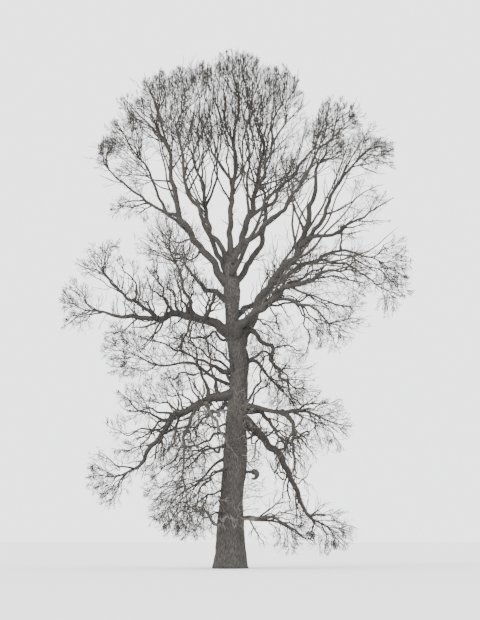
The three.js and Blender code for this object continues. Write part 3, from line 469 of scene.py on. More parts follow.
def bezier(corners: Sequence[Array], share: Array) -> Array:
    """Places along a curve, or along many at once.

    Args:
        corners: Its first end, the two corners that steer it, and its last end.
        share: 0 at the first end, 1 at the last.

    Returns:
        The place at each share.
    """
    rest = 1 - share
    near = rest**3 * corners[0] + 3 * rest**2 * share * corners[1]
    far = 3 * rest * share**2 * corners[2] + share**3 * corners[3]
    return near + far


@dataclass
class LimbCurve:
    """A swaying curve between two places, with its directions at the ends."""

    root: Array
    tip: Array
    leave: Array
    arrive: Array
    sway: float
    random: Seeded
    waves: Pair = field(init=False)
    phases: Pair = field(init=False)

    def __post_init__(self) -> None:
        """Draws the sway's four seeded numbers."""
        self.waves = (SWAY_WAVES[0] + self.random(), SWAY_WAVES[1] + self.random())
        self.phases = (self.random() * 2 * math.pi, self.random() * 2 * math.pi)

    def line(self, steps: int) -> Array:
        """Samples the curve.

        Args:
            steps: Number of pieces.

        Returns:
            The places along the curve, root first.
        """
        chord = self.tip - self.root
        length = float(norm(chord))
        reach = length * BEND_SHARE
        corners = (self.root, self.root + self.leave * reach, self.tip - self.arrive * reach, self.tip)
        side = np.cross(chord, UP)
        if norm(side) < UPRIGHT_CHORD * length:
            side = RIGHT * length
        side = unit(side)
        rise = unit(np.cross(side, chord))
        share = np.linspace(0, 1, steps + 1)[:, None]
        points = bezier(corners, share)
        swing = self.sway * length * np.sin(np.pi * share)
        for direction, wave, phase in zip((side, rise), self.waves, self.phases):
            points += direction * swing * np.sin(2 * np.pi * wave * share + phase)
        return points


def line_lengths(points: Array) -> Array:
    """Distance walked along a line at each of its points, from 0."""
    steps = norm(np.diff(points, axis=0), axis=1)
    return np.concatenate([[0.0], np.cumsum(steps)])


def along_line(points: Array, share: float) -> tuple[Array, Array]:
    """Place and direction at a share of a line's length.

    Args:
        points: The line.
        share: 0 at the root, 1 at the tip.

    Returns:
        The place and the unit direction there.
    """
    walked = line_lengths(points)
    target = share * walked[-1]
    i = int(np.clip(np.searchsorted(walked, target) - 1, 0, len(points) - 2))
    part = (target - walked[i]) / (walked[i + 1] - walked[i])
    return points[i] + (points[i + 1] - points[i]) * min(part, 1.0), unit(points[i + 1] - points[i])


def tapered(
        base: float | Array, share: float | Array, tip: float = TIP_RADIUS,
        power: float = TAPER_POWER) -> float | Array:
    """Radius at a share of a limb or twig, from its base to its tip. Over a power of 1 it thins sooner."""
    return tip + (base - tip) * (1 - share) ** power


def collar(base: float, walked: Array, parent_radius: float) -> Array:
    """What the swelling at a limb's root adds to its radius, in full as far as its parent's surface."""
    past = np.maximum(0, walked - parent_radius)
    return COLLAR_SHARE * base * np.exp(-past / (COLLAR_REACH * base))


@dataclass
class Taken:
    """Straight pieces that the main twigs keep off: trunk, boughs and other masses' twigs."""

    starts: list[Array] = field(default_factory=list)
    ends: list[Array] = field(default_factory=list)
    radii: list[float] = field(default_factory=list)
    owners: list[str] = field(default_factory=list)

    def add(self, points: Array, radii: Sequence[float], owner: str) -> None:
        """Marks a line as taken.

        Args:
            points: The line.
            radii: Its radius at each point.
            owner: Name of the limb or mass that it belongs to.
        """
        for i in range(len(points) - 1):
            self.starts.append(points[i])
            self.ends.append(points[i + 1])
            self.radii.append(max(radii[i], radii[i + 1]))
            self.owners.append(owner)

    def clear(self, points: Array, radius: float, owner: str) -> bool:
        """Tells whether a line is clear of all that others have taken.

        Args:
            points: The line to test.
            radius: Its radius.
            owner: Whose pieces don't count.

        Returns:
            True where nothing of another owner is too near.
        """
        others = np.array([name != owner for name in self.owners])
        starts = np.array(self.starts)[others]
        ends = np.array(self.ends)[others]
        room = np.array(self.radii)[others] + radius + TWIG_CLEARANCE
        for i in range(len(points) - 1):
            if np.any(piece_gaps(points[i], points[i + 1], starts, ends) < room):
                return False
        return True


def piece_gaps(a: Array, b: Array, starts: Array, ends: Array) -> Array:
    """Shortest distances from one straight piece to many others.

    Args:
        a: One end of the piece.
        b: Its other end.
        starts: First ends of the others.
        ends: Their second ends.

    Returns:
        One distance for each other piece.
    """
    ab = b - a
    cd = ends - starts
    ca = a - starts
    abab = ab @ ab
    cdcd = np.einsum("ij,ij->i", cd, cd)
    abcd = cd @ ab
    abca = ca @ ab
    cdca = np.einsum("ij,ij->i", cd, ca)
    spread = abab * cdcd - abcd**2
    s = np.where(spread > TINY, (abcd * cdca - abca * cdcd) / np.maximum(spread, TINY), 0)
    t = np.clip((abcd * np.clip(s, 0, 1) + cdca) / cdcd, 0, 1)
    s = np.clip((abcd * t - abca) / abab, 0, 1)
    near = a + ab * s[:, None] - starts - cd * t[:, None]
    return norm(near, axis=1)


def section_planes(points: Array) -> tuple[Array, Array]:
    """Section planes along a line, turned as little as possible from one to the next.

    Args:
        points: The line.

    Returns:
        The side and across directions at each point.
    """
    along = np.empty_like(points)
    along[1:-1] = points[2:] - points[:-2]
    along[0] = points[1] - points[0]
    along[-1] = points[-1] - points[-2]
    along = unit(along)
    side = unit(np.cross(steady_axis(along[0]), along[0]))
    sides = []
    for direction in along:
        side = unit(side - direction * (side @ direction))
        sides.append(side)
    sides = np.array(sides)
    return sides, np.cross(sides, along)


def crooked(line: Array, amount: float, numbers: Numbers) -> Array:
    """Adds small seeded crooks to a line, and none at its ends.

    Args:
        line: The line.
        amount: Their reach in metres.
        numbers: Seeded numbers.

    Returns:
        The crooked line.
    """
    walked = line_lengths(line)
    share = walked / walked[-1]
    swing = amount * np.sqrt(np.clip(np.sin(np.pi * share), 0, 1))
    moved = line.copy()
    for direction in section_planes(line):
        for pitch, weight in CROOK_WAVES:
            phase = 2 * np.pi * (walked / pitch + numbers.random())
            moved = moved + direction * (swing * weight * np.sin(phase))[:, None]
    return moved


def deselect_all() -> None:
    """Leaves object mode's selection empty."""
    if bpy.context.object and bpy.context.object.mode != "OBJECT":
        bpy.ops.object.mode_set(mode="OBJECT")
    bpy.ops.object.select_all(action="DESELECT")


def coordinates(piece: Piece) -> Array:
    """Reads the places of a mesh's vertices, one row for each."""
    places = np.empty(len(piece.data.vertices) * 3)
    piece.data.vertices.foreach_get("co", places)
    return places.reshape(-1, 3)


def move_vertices(piece: Piece, places: Array) -> None:
    """Moves a mesh's vertices to new places, one row for each."""
    piece.data.vertices.foreach_set("co", places.astype(np.float32).ravel())
    piece.data.update()


def straight_shaft(name: str, sides: int, rings: int, length: float) -> Piece:
    """Adds an upright shaft of radius 1 with rings all the way up.

    Args:
        name: Name of the piece.
        sides: Number of faces round it.
        rings: Number of rings of faces up it.
        length: Its height.

    Returns:
        The new mesh object, with its foot at the origin.
    """
    deselect_all()
    bpy.ops.mesh.primitive_cylinder_add(
        vertices=sides, radius=1, depth=length, end_fill_type="TRIFAN", location=(0, 0, length / 2))
    shaft = bpy.context.object
    shaft.name = name
    shaft.data.name = name
    bpy.ops.object.transform_apply(location=True, rotation=False, scale=False)
    bpy.ops.object.mode_set(mode="EDIT")
    bpy.ops.mesh.select_mode(type="EDGE")
    bpy.ops.mesh.select_all(action="DESELECT")
    bpy.ops.object.mode_set(mode="OBJECT")
    places = coordinates(shaft)
    for edge in shaft.data.edges:
        low, high = (places[i][2] for i in edge.vertices)
        edge.select = abs(high - low) > length / 2
    bpy.ops.object.mode_set(mode="EDIT")
    bpy.ops.mesh.subdivide(number_cuts=rings - 1)
    bpy.ops.object.mode_set(mode="OBJECT")
    return shaft


@dataclass(frozen=True)
class BarkRelief:
    """Furrows and lumps pressed into a shaft while it is still straight."""

    furrow_width: float
    furrow_stretch: float
    furrow_depth: float
    lump_size: float
    lump_height: float
    lump_stretch: float = 2.0
    contrast: float = 1.6

    def press(self, shaft: Piece, fade: Array) -> None:
        """Displaces the shaft's surface.

        Args:
            shaft: Upright mesh object at its real size.
            fade: Strength at each vertex, from 0 to 1.
        """
        group = shaft.vertex_groups.new(name="relief")
        for strength in np.unique(np.round(fade, 2)):
            chosen = np.flatnonzero(np.round(fade, 2) == strength)
            group.add(chosen.tolist(), float(strength), "REPLACE")
        furrows = bpy.data.textures.new(f"{shaft.name}_voronoi", "VORONOI")
        furrows.weight_1 = -1.0
        furrows.weight_2 = 1.0
        furrows.noise_intensity = self.contrast
        furrows.noise_scale = self.furrow_width
        self._displace(shaft, furrows, self.furrow_stretch, self.furrow_depth)
        lumps = bpy.data.textures.new(f"{shaft.name}_clouds", "CLOUDS")
        lumps.noise_scale = self.lump_size
        self._displace(shaft, lumps, self.lump_stretch, self.lump_height)
        shaft.vertex_groups.remove(shaft.vertex_groups["relief"])

    def _displace(
            self, shaft: Piece, texture: bpy.types.Texture, stretch: float, depth: float) -> None:
        """Applies one Displace modifier.

        Args:
            shaft: Upright mesh object.
            texture: What it reads.
            stretch: How much the texture is drawn out up the shaft.
            depth: Height of the relief, from its lowest to its highest.
        """
        guide = bpy.data.objects.new(f"{shaft.name}_guide", None)
        bpy.context.collection.objects.link(guide)
        guide.scale = (1, 1, stretch)
        bpy.context.view_layer.update()
        modifier = shaft.modifiers.new("relief", "DISPLACE")
        modifier.texture = texture
        modifier.texture_coords = "OBJECT"
        modifier.texture_coords_object = guide
        modifier.vertex_group = "relief"
        modifier.mid_level = 0.5
        modifier.strength = depth
        bpy.context.view_layer.objects.active = shaft
        bpy.ops.object.modifier_apply(modifier=modifier.name)
        bpy.data.objects.remove(guide)


def keep_straight_places(piece: Piece) -> None:
    """Stores each vertex's place before the shaft is bent, which the bark's pattern follows."""
    attribute = piece.data.attributes.new("bark_place", "FLOAT_VECTOR", "POINT")
    attribute.data.foreach_set("vector", coordinates(piece).astype(np.float32).ravel())


def finish_piece(piece: Piece, skin: Skin, material: Material, *nodes: str) -> None:
    """Dresses a piece and hands it to the frame.

    Args:
        piece: The finished mesh object.
        skin: The record's material slot, which is not used.
        material: Its material.
        nodes: CAD nodes that it stands for.
    """
    piece.data.polygons.foreach_set("use_smooth", np.ones(len(piece.data.polygons), dtype=bool))
    piece.data.materials.clear()
    piece.data.materials.append(material)
    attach(piece, "root")
    if nodes:
        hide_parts(*nodes)
    LOG.info("%s: %d faces", piece.name, len(piece.data.polygons))


@dataclass
class Trunk:
    """The trunk: taper, lean, buttressed foot, dead stub and hooked snag."""

    stations: tuple[Station, ...] = tuple(Station(*row) for row in STATIONS)
    sides: int = 200
    rings: int = 420
    levels: int = 400
    flare_reach: float = 0.62
    flare_share: float = 0.17
    buttresses: int = 5
    buttress_share: float = 0.09
    buttress_reach: float = 1.5
    buttress_turn: float = 0.6
    flutes: int = 3
    flute_share: float = 0.03
    flute_twist: float = 2.6
    relief: BarkRelief = BarkRelief(0.085, 6.0, 0.055, 0.45, 0.09)
    foot_fade: float = 0.15
    top_fade: float = 0.3
    stub_height: float = 10.62
    stub_heading: float = 175
    stub_depth: float = -0.25
    stub_length: float = 0.9
    stub_base: float = 0.135
    stub_end: float = 0.11
    snag_height: float = 5.2
    snag_heading: float = 1
    snag_depth: float = -0.2
    snag_reach: float = 1.06
    snag_hook: float = 0.2
    snag_turn: float = 215
    snag_base: float = 0.07
    snag_knob: float = 0.16
    snag_end: float = 0.05
    dead_sides: int = 28
    dead_ring: float = 0.03
    dead_relief: BarkRelief = BarkRelief(0.05, 3.0, 0.02, 0.22, 0.08)

    def size(self, measure: Measure, height: float) -> float:
        """One size of the trunk at a height, smooth through the stations.

        Args:
            measure: Which size.
            height: Height above the ground.

        Returns:
            The size there, in metres.
        """
        stations = self.stations
        key = measure.value
        i = 0
        while i < len(stations) - 2 and height > stations[i + 1].height:
            i += 1

        def slope(k: int) -> float:
            """Slope of the size at station k."""
            before = stations[max(k - 1, 0)]
            after = stations[min(k + 1, len(stations) - 1)]
            return (getattr(after, key) - getattr(before, key)) / (after.height - before.height)

        span = stations[i + 1].height - stations[i].height
        t = (height - stations[i].height) / span
        low = getattr(stations[i], key)
        high = getattr(stations[i + 1], key)
        return (
            (2 * t**3 - 3 * t**2 + 1) * low
            + (t**3 - 2 * t**2 + t) * span * slope(i)
            + (3 * t**2 - 2 * t**3) * high
            + (t**3 - t**2) * span * slope(i + 1)
        )

    def sizes(self, measure: Measure, heights: Array) -> Array:
        """One size of the trunk at each of many heights."""
        return np.array([self.size(measure, height) for height in heights])

    def centre(self, height: float) -> Array:
        """Centre of the trunk at a height."""
        return np.array([self.size(Measure.LEAN, height), self.size(Measure.DEPTH, height), height])

    def swell(self, heights: Array, angles: Array) -> Array:
        """Radius over the plain taper: flare and buttresses at the foot, flutes above.

        Args:
            heights: Height of each point.
            angles: Its angle round the trunk.

        Returns:
            The factor for each point.
        """
        flare = self.flare_share * np.exp(-heights / self.flare_reach)
        buttress = self.buttress_share * np.exp(-heights / self.buttress_reach)
        buttress = buttress * np.cos(self.buttresses * angles + self.buttress_turn)
        flute = self.flute_share * np.cos(self.flutes * angles + heights / self.flute_twist)
        return 1 + flare + buttress + flute

    def build(self, bark: Material) -> None:
        """Models the trunk with its bark.

        Args:
            bark: The trunk's material.
        """
        shaft = straight_shaft("trunk_with_bark", self.sides, self.rings, TRUNK_TOP)
        places = coordinates(shaft)
        heights = places[:, 2]
        angles = np.arctan2(-places[:, 1], places[:, 0])
        table = np.linspace(0, TRUNK_TOP, self.levels)
        plain = np.interp(heights, table, self.sizes(Measure.RADIUS, table))
        reach = np.hypot(places[:, 0], places[:, 1])
        radii = reach * plain * self.swell(heights, angles)
        places = np.column_stack([radii * np.cos(-angles), radii * np.sin(-angles), heights])
        move_vertices(shaft, places)
        fade = np.clip(heights / self.foot_fade, 0, 1) * np.clip((TRUNK_TOP - heights) / self.top_fade, 0, 1)
        self.relief.press(shaft, fade)
        keep_straight_places(shaft)
        places = coordinates(shaft)
        for axis, measure in enumerate((Measure.LEAN, Measure.DEPTH)):
            places[:, axis] += np.interp(places[:, 2], table, self.sizes(measure, table))
        places[:, 2] = np.maximum(places[:, 2], 0)
        move_vertices(shaft, places)
        self._join(shaft, [self._stub(), self._snag()])
        finish_piece(shaft, Skin.TRUNK, bark, "trunk")

    def _stub(self) -> Piece:
        """Models the blunt dead stub.

        Returns:
            The finished stub, not yet joined to the trunk.
        """
        heading = front_direction(self.stub_heading, self.stub_depth)
        line = self.centre(self.stub_height) + heading * np.linspace(0, self.stub_length, 5)[:, None]
        return self._dead_wood("dead_stub", line, np.linspace(self.stub_base, self.stub_end, len(line)))

    def _snag(self) -> Piece:
        """Models the snag: a thin neck that swells into a knob and hooks down.

        Returns:
            The finished snag, not yet joined to the trunk.
        """
        root = self.centre(self.snag_height)
        heading = front_direction(self.snag_heading, self.snag_depth)
        turns = np.radians(self.snag_turn) * np.linspace(0, 1, 9)[:, None]
        hook = root + heading * self.snag_reach
        hook = hook + heading * self.snag_hook * np.sin(turns) + UP * self.snag_hook * (np.cos(turns) - 1)
        neck = root + heading * np.array([[0.0], [self.snag_reach - self.snag_knob]])
        swelling = self.snag_knob + (self.snag_end - self.snag_knob) * np.linspace(0, 1, 9) ** 2
        radii = np.concatenate([[self.snag_base, self.snag_base], swelling])
        return self._dead_wood("hooked_snag", np.concatenate([neck, hook]), radii)

    def _dead_wood(self, name: str, line: Array, radii: Array) -> Piece:
        """Models a dead branch end along a line.

        Args:
            name: Name of the piece.
            line: The line that it follows.
            radii: Its radius at each point.

        Returns:
            The finished end, not yet joined to the trunk.
        """
        walked = line_lengths(line)
        wood = straight_shaft(name, self.dead_sides, int(walked[-1] / self.dead_ring), walked[-1])
        places = coordinates(wood)
        places[:, :2] *= np.interp(places[:, 2], walked, radii)[:, None]
        move_vertices(wood, places)
        self.dead_relief.press(wood, np.ones(len(places)))
        keep_straight_places(wood)
        move_vertices(wood, bent(coordinates(wood), line))
        return wood

    def _join(self, shaft: Piece, extras: Sequence[Piece]) -> None:
        """Makes small pieces part of the shaft.

        Args:
            shaft: The trunk's mesh object.
            extras: The pieces.
        """
        deselect_all()
        for extra in extras:
            extra.select_set(True)
        shaft.select_set(True)
        bpy.context.view_layer.objects.active = shaft
        bpy.ops.object.join()


def bent(places: Array, line: Array) -> Array:
    """Bends an upright shaft's vertices along a line.

    Args:
        places: Vertices of the upright shaft, its foot at height 0.
        line: The line that it follows.

    Returns:
        The new place of each vertex.
    """
    walked = line_lengths(line)
    sides, across = section_planes(line)
    height = np.clip(places[:, 2], 0, walked[-1])
    i = np.clip(np.searchsorted(walked, height) - 1, 0, len(line) - 2)
    part = ((height - walked[i]) / (walked[i + 1] - walked[i]))[:, None]
    centre = line[i] + (line[i + 1] - line[i]) * part
    side = unit(sides[i] + (sides[i + 1] - sides[i]) * part)
    other = unit(across[i] + (across[i + 1] - across[i]) * part)
    return centre + side * places[:, :1] + other * -places[:, 1:2]


@dataclass
class Limb:
    """A bough with the stem that carries it on, or a branch, under one bark."""

    name: str
    line: Array
    radii: Array
    nodes: tuple[str, ...] = ()
    sides: tuple[int, int] = (14, 44)
    sides_per_metre: float = 110
    ring_least: float = 0.045
    ring_share: float = 0.12
    furrow_width: float = 0.05
    furrow_stretch: float = 4.5
    relief_share: float = 0.16
    lump_least: float = 0.12
    lump_share: float = 0.3
    fade_power: float = 0.8

    def build(self, bark: Material) -> None:
        """Models the limb with its bark.

        Args:
            bark: Its material.
        """
        walked = line_lengths(self.line)
        thickest = float(self.radii.max())
        sides = int(np.clip(self.sides[0] + self.sides_per_metre * thickest, *self.sides))
        rings = int(walked[-1] / (self.ring_least + self.ring_share * thickest))
        shaft = straight_shaft(self.name, sides, rings, walked[-1])
        places = coordinates(shaft)
        radii = np.interp(places[:, 2], walked, self.radii)
        places[:, :2] *= radii[:, None]
        move_vertices(shaft, places)
        relief = BarkRelief(
            self.furrow_width, self.furrow_stretch, self.relief_share * thickest,
            self.lump_least + thickest, self.lump_share * thickest)
        relief.press(shaft, np.clip(radii / thickest, 0, 1) ** self.fade_power)
        keep_straight_places(shaft)
        move_vertices(shaft, bent(coordinates(shaft), self.line))
        finish_piece(shaft, Skin.BOUGH, bark, *self.nodes)


@dataclass
class Bough:
    """The line and radii of one tapering bough."""

    name: str
    sizes: BoughSize
    curve: LimbCurve
    parent_radius: float
    fewest_steps: int = 24
    step: float = 0.12
    line: Array = field(init=False)

    def __post_init__(self) -> None:
        """Samples the bough's line, with its small crooks."""
        length = float(norm(self.curve.tip - self.curve.root))
        line = self.curve.line(max(self.fewest_steps, int(length / self.step)))
        millimetres = int(1000 * length)
        numbers = np.random.default_rng([SEED, len(self.name), millimetres])
        amount = BOUGH_CROOK[0] + BOUGH_CROOK[1] * self.sizes.base + self.sizes.crook
        self.line = crooked(line, amount, numbers)

    def radii(self) -> Array:
        """Radius at each point of the line, with the collar where it leaves its parent.

        Returns:
            One radius for each point.
        """
        walked = line_lengths(self.line)
        taper = tapered(self.sizes.base, walked / walked[-1], self.sizes.end)
        return taper + collar(self.sizes.base, walked, self.parent_radius)

    def host(self) -> "Spray":
        """The branch as the host of finer twigs.

        Returns:
            A spray of one.
        """
        lift = BRANCH_LIFT * math.sin(math.radians(self.sizes.arrive))
        owner = CROWN_OWNER if self.line[-1][2] > CROWN_FOOT else LOW_OWNER
        return resampled(self.line, self.radii(), STEM_HOST_STEPS, owner, lift, BRANCH_BARE)


@dataclass
class Spray:
    """Many twigs of one order, as arrays of their places, radii, owners and lifts."""

    lines: Array
    radii: Array
    owners: Array
    lifts: Array

    def lengths(self) -> Array:
        """Length of each twig."""
        return norm(np.diff(self.lines, axis=1), axis=2).sum(axis=1)

    def chosen(self, keep: Array) -> "Spray":
        """The twigs that a mask or a list of numbers keeps."""
        return Spray(self.lines[keep], self.radii[keep], self.owners[keep], self.lifts[keep])


def joined_sprays(sprays: Sequence[Spray]) -> Spray:
    """One spray of several whose twigs have as many places."""
    keys = ("lines", "radii", "owners", "lifts")
    return Spray(*(np.concatenate([getattr(spray, key) for spray in sprays]) for key in keys))


def resampled(
        line: Array, radii: Array, steps: int, owner: int, lift: float,
        low: float = 0.0, high: float = 1.0) -> Spray:
    """One line as a spray of evenly spaced places.

    Args:
        line: The line.
        radii: Its radius at each point.
        steps: Number of pieces.
        owner: Number of the piece that its twigs belong to.
        lift: How much its twigs lift or droop.
        low: Share where it starts.
        high: Share where it ends.

    Returns:
        A spray of one.
    """
    walked = line_lengths(line)
    even = np.linspace(low * walked[-1], high * walked[-1], steps + 1)
    places = np.column_stack([np.interp(even, walked, line[:, axis]) for axis in range(3)])
    return Spray(places[None], np.interp(even, walked, radii)[None], np.array([owner]), np.array([lift]))


def crown_room_above(places: Array) -> Array:
    """Height left between places and the crown's outline, both seen from the camera.

    Args:
        places: Places, their coordinates along the last axis.

    Returns:
        Metres at the trunk's distance, less than 0 outside the outline.
    """
    nearness = CAMERA_DISTANCE / (CAMERA_DISTANCE + places[..., 1])
    sides, heights = np.array(CROWN_OUTLINE).T
    seen = EYE_HEIGHT + (places[..., 2] - EYE_HEIGHT) * nearness
    across = places[..., 0] * nearness
    ragged = 0
    for sideways, inwards, weight in EDGE_WAVES:
        ragged = ragged + weight * np.sin(sideways * across + inwards * places[..., 1])
    return np.interp(across, sides, heights) + EDGE_RAGGED * ragged - seen


@dataclass
class CrownRoom:
    """Cells of air that tell where twigs may reach and how much twig each holds by now."""

    cell: float
    low: Array = field(init=False)
    open: Array = field(init=False)
    held: Array = field(init=False)

    def __post_init__(self) -> None:
        """Lays the cells over the solids' box, all of them shut and empty."""
        self.low = np.array(CAD_BOX[0]) - CELL_MARGIN
        count = np.ceil((np.array(CAD_BOX[1]) + CELL_MARGIN - self.low) / self.cell).astype(int)
        self.open = np.zeros(count, dtype=bool)
        self.held = np.zeros(count)

    def cells(self, places: Array) -> tuple[Array, ...]:
        """Cell numbers of places along the last axis."""
        numbers = np.clip(((places - self.low) / self.cell).astype(int), 0, np.array(self.open.shape) - 1)
        return numbers[..., 0], numbers[..., 1], numbers[..., 2]

    def centres(self) -> Array:
        """Centre of every cell."""
        grid = np.stack(np.indices(self.open.shape), -1)
        return self.low + (grid + 0.5) * self.cell

    def open_near(self, places: Array, reach: float) -> None:
        """Opens the cells near places.

        Args:
            places: The places.
            reach: How near.
        """
        steps = np.arange(-int(reach / self.cell), int(reach / self.cell) + 1)
        offsets = np.stack(np.meshgrid(steps, steps, steps), -1).reshape(-1, 3) * self.cell
        for offset in offsets[norm(offsets, axis=1) <= reach]:
            self.open[self.cells(places + offset)] = True

    def hold(self, spray: Spray) -> None:
        """Counts twigs into the cells that they run through."""
        share = spray.lengths()[:, None] / spray.lines.shape[1]
        np.add.at(self.held, self.cells(spray.lines), np.broadcast_to(share, spray.lines.shape[:2]))

    def crowding(self, places: Array) -> Array:
        """Metres of twig in each cubic metre, and very many where the cells are shut.

        Args:
            places: Where it is asked for.

        Returns:
            The crowding at each place, eased near the outline and low down.
        """
        cells = self.cells(places)
        below = crown_room_above(places)
        outside = (places < CAD_BOX[0]).any(axis=-1) | (places > CAD_BOX[1]).any(axis=-1)
        shut = ~self.open[cells] | outside | (below < 0)
        low_down = np.interp(places[..., 2], CALM_HEIGHTS, (LOW_EASE, 0))
        ease = 1 + low_down + EDGE_EASE * np.exp(-np.maximum(below, 0) / EDGE_DEPTH)
        return self.held[cells] / self.cell**3 / ease + np.where(shut, SHUT, 0)


@dataclass(frozen=True)
class Habit:
    """How one order of side twigs grows on its parents: numbers, angles in degrees, shares and metres."""

    per_parent: int
    span: Pair
    opening: Pair
    reach: Pair
    steps: int
    thickness: Pair
    tip_radius: float = 0.012
    follow: float = 0.35
    tail: float = 0.1
    longest: float = 9.0
    shortest: float = 0.05
    crook: float = 0.03
    sides: int = 5
    full_length: float = 0.0
    limit: float = 10.0

    def grow(self, parents: Spray, room: CrownRoom, numbers: Numbers) -> Spray:
        """Grows side twigs on many parents, the slots of the spiral in turn.

        Args:
            parents: The twigs that they grow on.
            room: Cells that they spread out in.
            numbers: Seeded numbers.

        Returns:
            The new twigs.
        """
        grown = []
        batch = len(parents.owners) // GROWTH_BATCHES + 1
        for slot in range(self.per_parent):
            order = numbers.permutation(len(parents.owners))
            for begin in range(0, len(order), batch):
                spray = self._slot(parents.chosen(order[begin : begin + batch]), slot, room, numbers)
                room.hold(spray)
                grown.append(spray)
        return joined_sprays(grown)

    def _slot(self, parents: Spray, slot: int, room: CrownRoom, numbers: Numbers) -> Spray:
        """Grows one side twig on each parent, turned to where there is most room.

        Args:
            parents: The twigs that they grow on.
            slot: Its number in the spiral.
            room: Cells that they spread out in.
            numbers: Seeded numbers.

        Returns:
            The new twigs, fewer where there is no room.
        """
        count, places = parents.radii.shape
        rows = np.arange(count)
        length = parents.lengths()
        share = between(self.span, ((slot + 1) * GOLDEN_SHARE + numbers.random(count)) % 1)
        at = share * (places - 1)
        i = np.minimum(at.astype(int), places - 2)
        piece = parents.lines[rows, i + 1] - parents.lines[rows, i]
        start = parents.lines[rows, i] + piece * (at - i)[:, None]
        host = parents.radii[rows, i] + (parents.radii[rows, i + 1] - parents.radii[rows, i]) * (at - i)
        direction = unit(piece)
        onward = unit(parents.lines[:, -1] - start)
        side = unit(np.cross(direction, steady_axis(direction)))
        across = np.cross(direction, side)
        attempt = np.arange(GROWTH_TRIES)
        turn = slot * GOLDEN_TURN + TRY_TURN * attempt + 2 * np.pi * numbers.random((count, 1))
        opening = np.radians(between(self.opening, numbers.random((count, GROWTH_TRIES))))[..., None]
        outward = side[:, None] * np.cos(turn)[..., None] + across[:, None] * np.sin(turn)[..., None]
        leave = direction[:, None] * np.cos(opening) + outward * np.sin(opening)
        grown = between(self.reach, numbers.random((count, GROWTH_TRIES)))
        grown = grown * (length * (1 + self.tail - share))[:, None] * (1 - TRY_LOSS * attempt)
        reach = np.minimum(grown, self.longest)[..., None]
        lift = UP * parents.lifts[:, None, None]
        root = start[:, None] + outward * ROOT_OUT * host[:, None, None]
        tip = root + unit(leave + onward[:, None] * self.follow + lift) * reach
        middle = root + (tip - root) * MIDDLE_SHARE
        crowding = TIP_WEIGHT * room.crowding(tip) + MIDDLE_WEIGHT * room.crowding(middle)
        best = np.argmin(crowding + LUCK * numbers.random(crowding.shape), axis=1)
        borne = numbers.random(count) * self.full_length < length
        keep = borne & (crowding[rows, best] < self.limit) & (reach[rows, best, 0] > self.shortest)
        rows, best = rows[keep], best[keep]
        leave, reach, root, tip = leave[rows, best], reach[rows, best], root[rows, best], tip[rows, best]
        arrive = unit(leave + onward[rows] * 2 * self.follow + ARRIVING_LIFT * lift[rows, 0])
        corners = (root, root + leave * reach * BEND_SHARE, tip - arrive * reach * BEND_SHARE, tip)
        t = np.linspace(0, 1, self.steps + 1)[None, :, None]
        lines = bezier([corner[:, None] for corner in corners], t)
        calm = np.interp(root[:, 2:], CALM_HEIGHTS, CROOK_SHARES)
        crooks = numbers.normal(size=lines.shape) * (self.crook * reach * calm)[:, None]
        sides, middle = CROOK_BLEND
        crooks[:, 1:-1] = sides * crooks[:, :-2] + middle * crooks[:, 1:-1] + sides * crooks[:, 2:]
        crooks[:, 0] = 0
        base = host[rows] * between(self.thickness, numbers.random(len(rows)))
        base = np.maximum(base, LEAST_BASE * self.tip_radius)[:, None]
        radii = tapered(base, t[:, :, 0], self.tip_radius, SIDE_TAPER_POWER)
        return Spray(lines + crooks, radii, parents.owners[rows], parents.lifts[rows])


# Fans of side branches: number on each parent, span, opening, reach, steps and thickness
LEADER_FAN = Habit(
    7, (0.36, 0.8), (22, 40), (0.6, 0.95), 12, (0.34, 0.48),
    tip_radius=0.014, longest=6.5, shortest=0.6, crook=0.022, sides=6, limit=2.4)
LIMB_FAN = Habit(
    4, (0.34, 0.68), (24, 46), (0.26, 0.45), 8, (0.34, 0.5),
    longest=3.8, shortest=0.4, crook=0.035, limit=3.0)
STEM_FAN = Habit(
    9, (0.12, 0.92), (26, 46), (0.7, 1.1), 8, (0.42, 0.6),
    follow=0.25, longest=4.8, shortest=0.3, limit=3.6)

# Shoots that rise, hang or curl from the limbs, and those on the trunk, in the same order
RISING_SHOOT = Habit(
    15, (0.14, 0.78), (45, 95), (0.18, 0.42), 10, (0.26, 0.4),
    follow=0.05, longest=3.4, shortest=0.5, crook=0.04, limit=5.5)
HANGING_SHOOT = Habit(
    10, (0.18, 0.8), (50, 95), (0.14, 0.3), 10, (0.2, 0.3),
    follow=0.1, longest=2.6, shortest=0.45, crook=0.045, limit=5.5)
CURLY_SHOOT = Habit(
    13, (0.12, 0.7), (40, 80), (0.05, 0.12), 6, (0.12, 0.2),
    tip_radius=0.008, follow=0.0, longest=1.5, shortest=0.25, crook=0.055, sides=4, limit=6.0)
TRUNK_SHOOT = Habit(
    44, (0.04, 0.98), (60, 105), (0.08, 0.18), 8, (0.03, 0.05),
    tip_radius=0.008, follow=0.0, tail=0.3, longest=2.4, shortest=0.5, crook=0.035, sides=4, limit=20.0)

# Finer twigs, grown on the ones before
SECOND_FAN = Habit(
    8, (0.16, 0.95), (28, 56), (0.5, 0.95), 6, (0.4, 0.58),
    tip_radius=0.009, follow=0.22, tail=0.14, longest=2.0, shortest=0.22, crook=0.05, sides=4,
    full_length=1.2, limit=7.0)
THIRD_FAN = Habit(
    7, (0.14, 0.95), (32, 66), (0.55, 1.0), 4, (0.45, 0.65),
    tip_radius=0.007, follow=0.15, tail=0.16, longest=1.0, shortest=0.12, crook=0.06, sides=3,
    full_length=0.7, limit=15.0)
LAST_FAN = Habit(
    4, (0.15, 0.95), (35, 70), (0.55, 1.0), 2, (0.5, 0.75),
    tip_radius=0.006, follow=0.1, tail=0.2, longest=0.5, shortest=0.08, crook=0.07, sides=3,
    full_length=0.35, limit=27.0)


